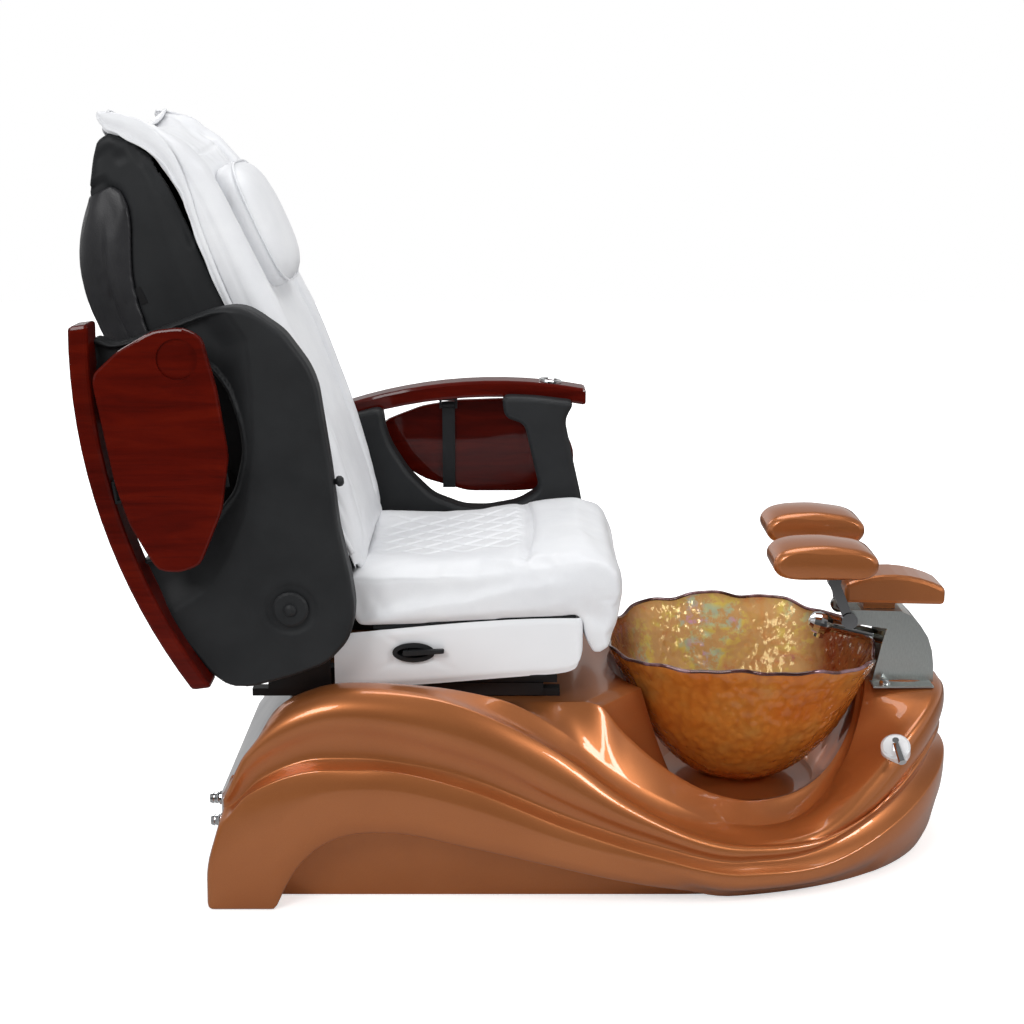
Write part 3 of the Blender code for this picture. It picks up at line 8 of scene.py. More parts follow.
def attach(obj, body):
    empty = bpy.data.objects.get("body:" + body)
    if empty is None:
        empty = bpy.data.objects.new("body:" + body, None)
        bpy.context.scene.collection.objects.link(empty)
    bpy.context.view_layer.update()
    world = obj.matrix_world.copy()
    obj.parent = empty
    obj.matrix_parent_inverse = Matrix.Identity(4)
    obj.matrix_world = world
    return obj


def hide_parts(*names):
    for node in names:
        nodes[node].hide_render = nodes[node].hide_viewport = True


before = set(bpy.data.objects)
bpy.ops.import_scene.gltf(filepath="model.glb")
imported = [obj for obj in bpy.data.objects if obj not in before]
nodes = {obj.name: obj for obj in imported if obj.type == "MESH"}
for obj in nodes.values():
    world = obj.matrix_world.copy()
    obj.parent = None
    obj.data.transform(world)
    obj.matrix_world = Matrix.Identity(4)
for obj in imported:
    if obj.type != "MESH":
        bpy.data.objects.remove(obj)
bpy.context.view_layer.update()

scene = bpy.context.scene


# ---------------------------------------------------------------- mesh helpers
def add(name, points, faces):
    """A smooth-shaded mesh object, with doubled points merged and its faces outward."""
    mesh = bpy.data.meshes.new(name)
    mesh.from_pydata([tuple(p) for p in points], [], faces)
    bm = bmesh.new()
    bm.from_mesh(mesh)
    bmesh.ops.remove_doubles(bm, verts=bm.verts, dist=0.00001)
    bmesh.ops.recalc_face_normals(bm, faces=bm.faces)
    bm.to_mesh(mesh)
    bm.free()
    item = bpy.data.objects.new(name, mesh)
    bpy.context.collection.objects.link(item)
    mesh.shade_smooth()
    return item


def settle(item):
    """Replace an object's modifiers by their result."""
    bpy.context.view_layer.update()
    graph = bpy.context.evaluated_depsgraph_get()
    mesh = bpy.data.meshes.new_from_object(item.evaluated_get(graph))
    item.modifiers.clear()
    item.data = mesh
    mesh.shade_smooth()
    return item


def modifier(item, kind, **settings):
    tool = item.modifiers.new(kind.lower(), kind)
    for key, value in settings.items():
        setattr(tool, key, value)
    return settle(item)


def bevel(item, width, segments=3, angle=30.0):
    return modifier(item, "BEVEL", width=width, segments=segments, limit_method="ANGLE",
                    angle_limit=math.radians(angle))


def remesh(item, voxel):
    return modifier(item, "REMESH", mode="VOXEL", voxel_size=voxel, use_smooth_shade=True)


def relax(item, factor, times):
    return modifier(item, "SMOOTH", factor=factor, iterations=times)


def subdivide(item, levels=1):
    return modifier(item, "SUBSURF", levels=levels, render_levels=levels)


def crisp(item, angle=35.0):
    item.data.set_sharp_from_angle(angle=math.radians(angle))
    return item


def prism(name, outline, y0, y1):
    """An (x, z) outline drawn out along Y."""
    count = len(outline)
    points = [(x, y, z) for y in (y0, y1) for x, z in outline]
    faces = [list(range(count)), list(range(2 * count - 1, count - 1, -1))]
    faces += [(k, (k + 1) % count, count + (k + 1) % count, count + k) for k in range(count)]
    return add(name, points, faces)


def ring_of(count):
    """Evenly spaced angles round a full turn."""
    return [2 * math.pi * k / count for k in range(count)]


def superellipse(angle, power):
    """Radius at an angle of a unit round-cornered square."""
    return (abs(math.cos(angle)) ** power + abs(math.sin(angle)) ** power) ** (-1 / power)


def skin_grid(rows, closed=False):
    """Quads over equal rows of points."""
    width = len(rows[0])
    faces = []
    for r in range(len(rows) - 1):
        for k in range(width if closed else width - 1):
            j = (k + 1) % width
            faces.append((r * width + k, r * width + j, (r + 1) * width + j, (r + 1) * width + k))
    return [p for row in rows for p in row], faces


def capped(name, rows, forward=True):
    """A closed skin over rings of points, with its first and last ring filled."""
    points, faces = skin_grid(rows, True)
    width, count = len(rows[0]), len(points)
    if forward:
        faces += [list(range(width)), list(range(count - 1, count - 1 - width, -1))]
    else:
        faces += [list(range(width - 1, -1, -1)), list(range(count - width, count))]
    return add(name, points, faces)


def move(item, matrix):
    item.data.transform(matrix)
    item.data.update()
    return item


def reshape(item, rule):
    """Move each vertex by a rule of its place and normal."""
    mesh = item.data
    moved = [rule(v.co.copy(), v.normal.copy()) for v in mesh.vertices]
    for vert, spot in zip(mesh.vertices, moved):
        vert.co = spot
    mesh.update()
    return item


def join(target, *others):
    bm = bmesh.new()
    for item in (target, *others):
        bm.from_mesh(item.data)
    bm.to_mesh(target.data)
    bm.free()
    for item in others:
        bpy.data.objects.remove(item, do_unlink=True)
    return target


def cut(item, cutter):
    """Take a cutter's shape out of an object, and remove the cutter."""
    modifier(item, "BOOLEAN", operation="DIFFERENCE", solver="EXACT", object=cutter)
    bpy.data.objects.remove(cutter, do_unlink=True)


# a direction that no bead runs along
ANY_WAY = Vector((0.31, 0.17, 0.94))


def tube(name, path, radius, sides=10, closed=False):
    """A round bead along a path of points."""
    count = len(path)
    rows = []
    for k, here in enumerate(path):
        ahead = path[(k + 1) % count] if closed else path[min(k + 1, count - 1)]
        back = path[k - 1] if closed else path[max(k - 1, 0)]
        heading = (ahead - back).normalized()
        side = heading.cross(ANY_WAY).normalized()
        up = heading.cross(side)
        rows.append([here + side * (radius * math.cos(angle)) + up * (radius * math.sin(angle))
                     for angle in ring_of(sides)])
    if not closed:
        return capped(name, rows)
    return add(name, *skin_grid(rows + rows[:1], True))


def smooth_value(knots, x):
    """A smooth curve through (x, value) knots, level at each peak and beyond its ends."""
    if x <= knots[0][0]:
        return knots[0][1]
    if x >= knots[-1][0]:
        return knots[-1][1]
    for k in range(len(knots) - 1):
        if knots[k][0] <= x <= knots[k + 1][0]:
            break
    (x0, v0), (x1, v1) = knots[k], knots[k + 1]
    xa, va = knots[max(k - 1, 0)]
    xb, vb = knots[min(k + 2, len(knots) - 1)]
    here = v1 - v0
    m0 = (v1 - va) / (x1 - xa) * (x1 - x0) if (v0 - va) * here > 0 else 0.0
    m1 = (vb - v0) / (xb - x0) * (x1 - x0) if (vb - v1) * here > 0 else 0.0
    t = (x - x0) / (x1 - x0)
    return (v0 * (2 * t ** 3 - 3 * t ** 2 + 1) + m0 * (t ** 3 - 2 * t ** 2 + t)
            + v1 * (3 * t ** 2 - 2 * t ** 3) + m1 * (t ** 3 - t ** 2))


def ease(low, high, x):
    t = min(1.0, max(0.0, (x - low) / (high - low)))
    return t * t * (3 - 2 * t)


def lean_frame(pivot, degrees):
    """Matrix from a part's own upright frame to the chair's, leaning about the Y axis."""
    return (Matrix.Translation((pivot[0], 0.0, pivot[1]))
            @ Matrix.Rotation(math.radians(degrees), 4, "Y"))


def line_distance(x, z, line):
    """Distance from a point to a polyline, and which side of it the point is on."""
    best, side = 1e9, 1.0
    for (ax, az), (bx, bz) in zip(line, line[1:]):
        dx, dz = bx - ax, bz - az
        t = max(0.0, min(1.0, ((x - ax) * dx + (z - az) * dz) / (dx * dx + dz * dz)))
        gap = math.hypot(x - ax - dx * t, z - az - dz * t)
        if gap < best:
            best = gap
            side = 1.0 if dx * (z - az) - dz * (x - ax) > 0 else -1.0
    return best, side


# ---------------------------------------------------------------- materials
class Look:
    """A Principled material whose detail comes from object-space noise."""

    def __init__(self, name, **settings):
        self.material = bpy.data.materials.new(name)
        self.material.use_nodes = True
        self.tree = self.material.node_tree
        self.shader = self.tree.nodes["Principled BSDF"]
        self.place = self.node("ShaderNodeTexCoord").outputs["Object"]
        for key, value in settings.items():
            self.shader.inputs[key.replace("_", " ")].default_value = value

    def node(self, kind, **settings):
        made = self.tree.nodes.new(kind)
        for key, value in settings.items():
            setattr(made, key, value)
        return made

    def wire(self, source, target):
        self.tree.links.new(source, target)

    def mapped(self, scale=(1, 1, 1), turn=(0, 0, 0)):
        frame_of = self.node("ShaderNodeMapping")
        frame_of.inputs["Scale"].default_value = scale
        frame_of.inputs["Rotation"].default_value = turn
        self.wire(self.place, frame_of.inputs["Vector"])
        return frame_of.outputs["Vector"]

    def noise(self, scale, detail=3.0, rough=0.5, place=None, distortion=0.0):
        grain = self.node("ShaderNodeTexNoise")
        grain.inputs["Scale"].default_value = scale
        grain.inputs["Detail"].default_value = detail
        grain.inputs["Roughness"].default_value = rough
        grain.inputs["Distortion"].default_value = distortion
        self.wire(place or self.place, grain.inputs["Vector"])
        return grain.outputs["Fac"]

    def cells(self, scale, feature="F1", place=None):
        grain = self.node("ShaderNodeTexVoronoi", feature=feature)
        grain.inputs["Scale"].default_value = scale
        self.wire(place or self.place, grain.inputs["Vector"])
        return grain.outputs["Distance"]

    def span(self, value, low, high, start=0.0, end=1.0):
        ranged = self.node("ShaderNodeMapRange")
        for key, number in zip(("From Min", "From Max", "To Min", "To Max"), (start, end, low, high)):
            ranged.inputs[key].default_value = number
        self.wire(value, ranged.inputs["Value"])
        return ranged.outputs["Result"]

    def ramp(self, value, stops):
        band = self.node("ShaderNodeValToRGB")
        marks = band.color_ramp.elements
        while len(marks) < len(stops):
            marks.new(0.5)
        for mark, (spot, colour) in zip(marks, stops):
            mark.position = spot
            mark.color = (*colour, 1.0)
        self.wire(value, band.inputs["Fac"])
        return band.outputs["Color"]

    def mix(self, factor, a, b):
        """Blend two colours, each a tuple or a socket."""
        blender = self.node("ShaderNodeMix", data_type="RGBA")
        self.wire(factor, blender.inputs[0])
        for source, target in ((a, blender.inputs[6]), (b, blender.inputs[7])):
            if isinstance(source, tuple):
                target.default_value = (*source, 1.0)
            else:
                self.wire(source, target)
        return blender.outputs[2]

    def math(self, operation, a, b):
        sum_of = self.node("ShaderNodeMath", operation=operation)
        for source, target in ((a, sum_of.inputs[0]), (b, sum_of.inputs[1])):
            if isinstance(source, float):
                target.default_value = source
            else:
                self.wire(source, target)
        return sum_of.outputs["Value"]

    def set(self, name, source):
        self.wire(source, self.shader.inputs[name])

    def bump(self, *layers):
        """Stack (height, strength, distance) bumps."""
        before = None
        for height, strength, distance in layers:
            relief = self.node("ShaderNodeBump")
            relief.inputs["Strength"].default_value = strength
            relief.inputs["Distance"].default_value = distance
            self.wire(height, relief.inputs["Height"])
            if before:
                self.wire(before, relief.inputs["Normal"])
            before = relief.outputs["Normal"]
        self.wire(before, self.shader.inputs["Normal"])


def copper_paint():
    look = Look("copper_paint", Metallic=0.66, Coat_Weight=0.75, Coat_Roughness=0.025)
    broad = look.noise(7.0, 2.0)
    fine = look.noise(1400.0, 1.0)
    tone = look.ramp(look.math("ADD", look.span(broad, -0.12, 0.12), look.span(fine, 0.3, 0.7)),
                     [(0.25, (0.42, 0.128, 0.034)), (0.5, (0.50, 0.165, 0.048)),
                      (0.8, (0.60, 0.215, 0.070))])
    look.set("Base Color", tone)
    look.set("Roughness", look.span(fine, 0.31, 0.42))
    look.bump((look.noise(90.0, 1.0), 0.05, 0.0006), (fine, 0.10, 0.00012))
    return look.material


def cherry_wood(name, turn):
    look = Look(name, Coat_Weight=0.45, Coat_Roughness=0.04, Specular_IOR_Level=0.05)
    place = look.mapped((1.0, 7.0, 9.0), (0, turn, 0))
    flame = look.noise(4.0, 4.0, 0.6, place, 1.2)
    pores = look.noise(260.0, 2.0, 0.6, look.mapped((0.06, 1.0, 1.0), (0, turn, 0)))
    base = look.ramp(flame, [(0.30, (0.050, 0.0016, 0.0001)), (0.52, (0.076, 0.0026, 0.0002)),
                             (0.75, (0.102, 0.0048, 0.0004))])
    dark_pores = look.span(pores, 0.0, 0.35, 0.58, 0.8)
    look.set("Base Color", look.mix(dark_pores, base, (0.016, 0.0012, 0.0006)))
    look.set("Roughness", look.span(pores, 0.28, 0.42))
    look.bump((pores, 0.06, 0.0003), (look.noise(25.0, 1.0), 0.03, 0.001))
    return look.material


def moulded_black():
    look = Look("moulded_black", Specular_IOR_Level=0.35)
    grain = look.cells(900.0)
    dust = look.noise(14.0, 4.0)
    look.set("Base Color", look.ramp(dust, [(0.3, (0.0125, 0.0135, 0.0150)),
                                            (0.7, (0.0175, 0.0188, 0.0205))]))
    look.set("Roughness", look.span(look.noise(40.0, 3.0), 0.46, 0.62))
    look.bump((grain, 0.30, 0.00025), (look.noise(1300.0, 2.0), 0.15, 0.0002))
    return look.material


def leather(name, dark, light, roughness, relief):
    look = Look(name, Specular_IOR_Level=0.42)
    grain = look.cells(620.0, "SMOOTH_F1")
    wear = look.noise(9.0, 4.0, 0.6)
    look.set("Base Color", look.ramp(look.math("ADD", wear, look.span(grain, -0.12, 0.06)),
                                     [(0.25, dark), (0.75, light)]))
    look.set("Roughness", look.span(look.noise(30.0, 3.0), roughness - 0.05, roughness + 0.07))
    look.bump((grain, relief, 0.0005), (look.noise(2400.0, 2.0), relief * 0.5, 0.0002),
              (look.noise(45.0, 2.0), 0.06, 0.0015))
    return look.material


def white_moulding():
    look = Look("white_moulding", Coat_Weight=0.35, Coat_Roughness=0.12)
    tone = look.noise(5.0, 3.0)
    look.set("Base Color", look.ramp(tone, [(0.3, (0.77, 0.78, 0.80)), (0.7, (0.82, 0.83, 0.85))]))
    look.set("Roughness", look.span(look.noise(60.0, 2.0), 0.30, 0.42))
    look.bump((look.noise(120.0, 2.0), 0.04, 0.0005), (look.noise(9.0, 1.0), 0.05, 0.004))
    return look.material


def polished(name, colour, roughness, streak=None, scratch=0.03):
    look = Look(name, Metallic=1.0)
    place = look.mapped(streak) if streak else None
    marks = look.noise(500.0 if streak else 35.0, 3.0, 0.6, place)
    shade = tuple(c * 0.86 for c in colour)
    look.set("Base Color", look.ramp(marks, [(0.3, shade), (0.7, colour)]))
    look.set("Roughness", look.span(marks, roughness * 0.7, roughness * 1.5))
    look.bump((marks, scratch, 0.0003))
    return look.material


def plain_paint(name, dark, light, roughness, metallic=0.0):
    look = Look(name, Metallic=metallic)
    speck = look.noise(700.0, 2.0)
    look.set("Base Color", look.ramp(look.noise(11.0, 4.0), [(0.3, dark), (0.7, light)]))
    look.set("Roughness", look.span(speck, roughness - 0.06, roughness + 0.08))
    look.bump((speck, 0.08, 0.0002), (look.noise(60.0, 2.0), 0.03, 0.0006))
    return look.material


def amber_glass(name, inside):
    """Amber glass; its inner face is pale gold, with patches of painted rainbow sheen and sparkle and
    with painted shade at its ends.
    """
    look = Look(name, IOR=1.5, Transmission_Weight=0.45 if inside else 0.30)
    tall = look.mapped((1.0, 1.0, 0.62))
    cells = look.cells(74.0, "SMOOTH_F1", tall)
    fine = look.noise(120.0, 2.0, 0.5, tall)
    if inside:
        hue = look.noise(9.0, 3.0, 0.6, None, 0.6)
        # painted sheen: the rainbow colours of the inner film's reflection, put into the base colour
        painted_film_sheen = look.ramp(hue, [(0.26, (0.62, 0.22, 0.30)), (0.36, (0.86, 0.42, 0.16)),
                               (0.45, (0.90, 0.62, 0.22)), (0.53, (1.0, 0.86, 0.20)),
                               (0.60, (0.62, 0.85, 0.62)), (0.68, (0.90, 0.50, 0.80))])
        # noise picks where the painted sheen and sparkles show over the pale gold
        painted_sparkle_mask = look.span(look.noise(42.0, 3.0, 0.7), 0.0, 0.95, 0.46, 0.58)
        gold = look.mix(painted_sparkle_mask, (0.86, 0.55, 0.24), painted_film_sheen)
        axes = look.node("ShaderNodeSeparateXYZ")
        look.wire(look.place, axes.inputs[0])
        # the ends of the bowl are painted deep red: painted shade for the darker copper seen through the
        # side walls
        aside = look.math("ABSOLUTE", look.math("SUBTRACT", axes.outputs["X"], BOWL_X - 0.01), 0.0)
        ends = look.span(aside, 0.0, 1.0, 0.150, 0.205)
        look.set("Base Color", look.mix(ends, gold, (0.20, 0.028, 0.008)))
        look.shader.inputs["Specular Tint"].default_value = (1.0, 0.86, 0.45, 1.0)
    else:
        flow = look.noise(9.0, 3.0, 0.55)
        amber = look.ramp(flow, [(0.30, (0.50, 0.120, 0.014)), (0.52, (0.56, 0.180, 0.028)),
                                 (0.74, (0.46, 0.21, 0.050))])
        # painted shade: the borders between the hammered dimples are darkened
        painted_dimple_shade = look.span(cells, 0.0, 0.45, 0.35, 0.70)
        look.set("Base Color", look.mix(painted_dimple_shade, amber, (0.32, 0.072, 0.010)))
    look.set("Roughness", look.span(fine, 0.04, 0.13, 0.3, 0.7))
    look.bump((cells, 0.7, 0.004), (fine, 0.25, 0.002))
    return look.material


def rim_glass():
    look = Look("rim_glass", Coat_Weight=1.0, Coat_Roughness=0.02, Metallic=0.35)
    look.set("Base Color", look.ramp(look.noise(26.0, 2.0),
                                     [(0.35, (0.045, 0.010, 0.008)), (0.5, (0.11, 0.035, 0.03)),
                                      (0.68, (0.30, 0.17, 0.20))]))
    look.set("Roughness", look.span(look.noise(90.0), 0.04, 0.14))
    look.bump((look.noise(70.0, 2.0), 0.3, 0.002))
    return look.material


BOWL_X = 0.414

LOOKS = {
    "copper": copper_paint(),
    "wood_down": cherry_wood("cherry_wood_down", 0.12),
    "wood_up": cherry_wood("cherry_wood_up", math.radians(97.5)),
    "black": moulded_black(),
    "black_leather": leather("black_leather", (0.016, 0.016, 0.018), (0.030, 0.030, 0.033), 0.42, 0.45),
    "white_leather": leather("white_leather", (0.70, 0.71, 0.735), (0.78, 0.788, 0.805), 0.44, 0.16),
    "white": white_moulding(),
    "chrome": polished("chrome", (0.86, 0.87, 0.88), 0.055),
    "stainless": polished("stainless", (0.78, 0.82, 0.80), 0.30, (1.0, 1.0, 0.25), 0.02),
    "steel": plain_paint("steel_paint", (0.008, 0.008, 0.009), (0.016, 0.016, 0.018), 0.45, 0.3),
    "grey": plain_paint("grey_panel", (0.44, 0.44, 0.45), (0.54, 0.54, 0.545), 0.42),
    "rubber": plain_paint("rubber", (0.016, 0.016, 0.016), (0.026, 0.026, 0.026), 0.75),
    "glass_out": amber_glass("amber_glass_outside", False),
    "glass_in": amber_glass("amber_glass_inside", True),
    "glass_rim": rim_glass(),
    "satin": plain_paint("satin_metal", (0.80, 0.81, 0.83), (0.88, 0.885, 0.90), 0.22, 0.35),
    # the same chrome with its colour lowered: painted dark reflection for the footrest arms
    "chrome_painted_dark": polished("chrome_painted_dark", (0.34, 0.34, 0.35), 0.06),
}


def dress(item, look):
    item.data.materials.clear()
    item.data.materials.append(LOOKS[look])


def finish(item, body, look, slot_name, *replaced):
    """Give a piece its look, the body that it rides on and the nodes it stands for. The slot name is not
    used.
    """
    dress(item, look)
    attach(item, body)
    if replaced:
        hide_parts(*replaced)


# ---------------------------------------------------------------- base moulding
DECK_HEIGHT, DECK_REAR_X, REAR_X, REAR_FOOT_Z = 0.335, -0.42, -0.556, 0.155
TURN_X, TIP_X, FLOOR_HALF, WELL_Z, WELL_RADIUS = 0.27, 0.780, 0.342, 0.108, 0.15
ARCH = [(-0.45, 0.0), (-0.425, 0.045), (-0.40, 0.085), (-0.36, 0.121), (-0.31, 0.141),
        (-0.25, 0.145), (-0.09, 0.114), (0.03, 0.085), (0.15, 0.053), (0.27, 0.024), (0.37, 0.0)]
CREASE_LOW = [(-0.54, 0.165), (-0.49, 0.215), (-0.42, 0.250), (-0.35, 0.263), (-0.275, 0.263),
              (-0.11, 0.228), (0.08, 0.150), (0.235, 0.097), (0.395, 0.063), (0.54, 0.065),
              (0.68, 0.110), (0.78, 0.160), (0.82, 0.180)]
CREASE_MID = [(-0.535, 0.187), (-0.465, 0.241), (-0.395, 0.273), (-0.335, 0.279),
              (-0.25, 0.275), (-0.11, 0.245), (0.08, 0.166), (0.235, 0.113), (0.385, 0.079),
              (0.515, 0.083), (0.655, 0.132), (0.76, 0.182), (0.79, 0.198)]
SWELL = [(-0.535, 0.200), (-0.49, 0.263), (-0.395, 0.318), (-0.325, 0.333), (-0.24, 0.324),
         (-0.15, 0.300), (-0.05, 0.263), (0.055, 0.206), (0.2, 0.142), (0.39, 0.089),
         (0.52, 0.092), (0.67, 0.150), (0.80, 0.215)]
CREST = [(-0.531, 0.213), (-0.505, 0.254), (-0.445, 0.340), (-0.373, 0.379), (-0.30, 0.391),
         (-0.168, 0.379), (-0.086, 0.353), (0.01, 0.305), (0.082, 0.260), (0.163, 0.200),
         (0.262, 0.141), (0.33, 0.114), (0.4, 0.099), (0.51, 0.095), (0.62, 0.120),
         (0.673, 0.156), (0.729, 0.200), (0.80, 0.238)]
LOBE = [(-0.53, 0.216), (-0.445, 0.345), (-0.373, 0.384), (-0.30, 0.395), (-0.168, 0.382),
        (-0.086, 0.352), (0.01, 0.303), (0.082, 0.253), (0.163, 0.191), (0.262, 0.139),
        (0.4, 0.102), (0.53, 0.113), (0.63, 0.184), (0.70, 0.248), (0.77, 0.296), (0.794, 0.303)]
BAND = [(-0.53, 0.214), (-0.445, 0.338), (-0.373, 0.380), (-0.30, 0.390), (-0.168, 0.382),
        (-0.086, 0.368), (-0.025, 0.350), (0.06, 0.300), (0.10, 0.266), (0.196, 0.197),
        (0.267, 0.159), (0.337, 0.125), (0.46, 0.104), (0.51, 0.113), (0.565, 0.150),
        (0.607, 0.205), (0.640, 0.280), (0.655, 0.312)]
POCKET = [(0.09, DECK_HEIGHT), (0.134, DECK_HEIGHT - 0.009), (0.176, 0.276), (0.247, 0.212),
          (0.318, 0.167), (0.379, 0.144), (0.429, 0.135), (0.49, 0.138), (0.542, 0.155),
          (0.586, 0.190), (0.621, 0.240), (0.645, 0.303)]
STRAIGHT_STEPS = 120
TIP_STEPS = 44


def pocket_height(x):
    if x < DECK_REAR_X:
        rise = (DECK_HEIGHT - REAR_FOOT_Z) / (DECK_REAR_X - REAR_X)
        return DECK_HEIGHT - rise * (DECK_REAR_X - x)
    return smooth_value(POCKET, x)


def arch_height(x):
    return max(0.0, smooth_value(ARCH, x))


def along(knots):
    return lambda x: smooth_value(knots, x)


# Each rail: rear x, half width along it, tip x, height along it.
RAILS = [
    (-0.566, lambda x: FLOOR_HALF - 0.012, TIP_X - 0.012, lambda x: 0.0),
    (-0.566, lambda x: FLOOR_HALF - 0.004, TIP_X - 0.006, lambda x: max(0.0, arch_height(x) - 0.005)),
    (-0.566, along([(0.0, 0.392), (0.20, 0.378), (0.37, 0.346)]), TIP_X, arch_height),
    (-0.563, along([(0.0, 0.402), (0.3, 0.390)]), TIP_X + 0.024,
     lambda x: 0.5 * (arch_height(x) + smooth_value(CREASE_LOW, x))),
    (-0.540, lambda x: 0.392, TIP_X + 0.034, along(CREASE_LOW)),
    (-0.535, lambda x: 0.367, TIP_X + 0.006, lambda x: smooth_value(CREASE_MID, x) - 0.004),
    (-0.535, lambda x: 0.372, TIP_X + 0.016, along(SWELL)),
    (-0.531, lambda x: 0.350, TIP_X + 0.022, along(CREST)),
    (-0.530, lambda x: 0.328, TIP_X + 0.026, along(LOBE)),
    (-0.530, lambda x: 0.295, TIP_X - 0.125, along(BAND)),
    (REAR_X, lambda x: 0.245, TIP_X - 0.135, pocket_height),
]
# Between rail k and k + 1: steps, swell (out of the surface where positive) at x = -0.3, 0.3 and 0.7.
STRIPS = [(2, 0, 0, 0), (4, 0, 0, 0), (7, 0.004, 0.003, 0.004), (7, 0.005, 0.003, 0.004),
          (4, -0.0020, -0.0020, -0.002), (7, -0.0045, -0.0020, -0.002), (9, 0.012, 0.008, 0.004),
          (6, 0.001, -0.001, 0.006), (7, 0.002, -0.003, 0.005), (8, 0.0, 0.0, -0.006)]
# Half the width of the rounding over each rail, as a length and as a share of the strips beside it.
ROUNDING = {1: (0.003, 0.3), 2: (0.005, 0.3), 3: (0.03, 0.42), 4: (0.0026, 0.30), 5: (0.0022, 0.30),
            6: (0.008, 0.3), 7: (0.0026, 0.25), 8: (0.012, 0.4), 9: (0.0026, 0.25)}


def rail_line(rail):
    start, half, tip, height = rail
    spots = []
    for k in range(STRAIGHT_STEPS + 1):
        x = start + (TURN_X - start) * (k / STRAIGHT_STEPS) ** 1.25
        spots.append(Vector((x, -half(x), height(x))))
    for k in range(1, TIP_STEPS + 1):
        angle = math.pi / 2 * k / TIP_STEPS
        x = TURN_X + (tip - TURN_X) * math.sin(angle)
        spots.append(Vector((x, -half(x) * math.cos(angle) if k < TIP_STEPS else 0.0, height(x))))
    return spots


def column(lines, k):
    """The moulding's cross-section at one station, from the floor up and in."""
    rails = [line[k] for line in lines]
    heading = lines[4][min(k + 1, len(lines[4]) - 1)] - lines[4][max(k - 1, 0)]
    runs = []
    for s, (steps, *swell) in enumerate(STRIPS):
        a, b = rails[s], rails[s + 1]
        across = b - a
        reach = max(across.length, 1e-6)
        out = heading.cross(across)
        out = out.normalized() if out.length > 1e-9 else Vector((0, 0, 0))
        if out.y > 0 and abs(out.y) > abs(out.z) or out.z < 0 and abs(out.z) > abs(out.y):
            out = -out
        lift = smooth_value([(-0.3, swell[0]), (0.3, swell[1]), (0.7, swell[2])], a.x)
        lift *= ease(-0.56, -0.46, a.x) * min(1.0, reach / 0.02)
        first = min(ROUNDING[s][0], ROUNDING[s][1] * reach) / reach if s in ROUNDING else 0.0
        last = min(ROUNDING[s + 1][0], ROUNDING[s + 1][1] * reach) / reach if s + 1 in ROUNDING else 0.0
        run = []
        for j in range(steps + 1):
            t = first + (1 - first - last) * j / steps
            run.append(a + across * t + out * (lift * 4 * t * (1 - t)))
        runs.append(run)
    spots = list(runs[0])
    for s in range(1, len(STRIPS)):
        before, corner, after = spots[-1], rails[s], runs[s][0]
        for t in (0.25, 0.5, 0.75):
            spots.append(before * (1 - t) ** 2 + corner * 2 * t * (1 - t) + after * t * t)
        spots += runs[s]
    return spots


DECK_CORNER = Vector((0.134, -0.245, DECK_HEIGHT - 0.009))
DECK_BLEND = 40  # stations over which the deck's straight rows bend to its front edge
POCKET_RINGS = 14


def deck_front(count):
    """Front edge of the deck: out past the corners, then round the back of the bowl."""
    knee = Vector((0.212, -0.158, DECK_HEIGHT - 0.004))
    half = []
    for k in range(count):
        t = k / count
        half.append(DECK_CORNER.lerp(knee, t))
    arc = []
    start = math.atan2(knee.y, knee.x - BOWL_X)
    radius = math.hypot(knee.y, knee.x - BOWL_X)
    sweep = -(math.pi + start)
    for k in range(count + 1):
        angle = start + sweep * k / count
        arc.append(Vector((BOWL_X + radius * math.cos(angle), radius * math.sin(angle), knee.z)))
    near = half + arc
    return near + [Vector((p.x, -p.y, p.z)) for p in near[-2::-1]]


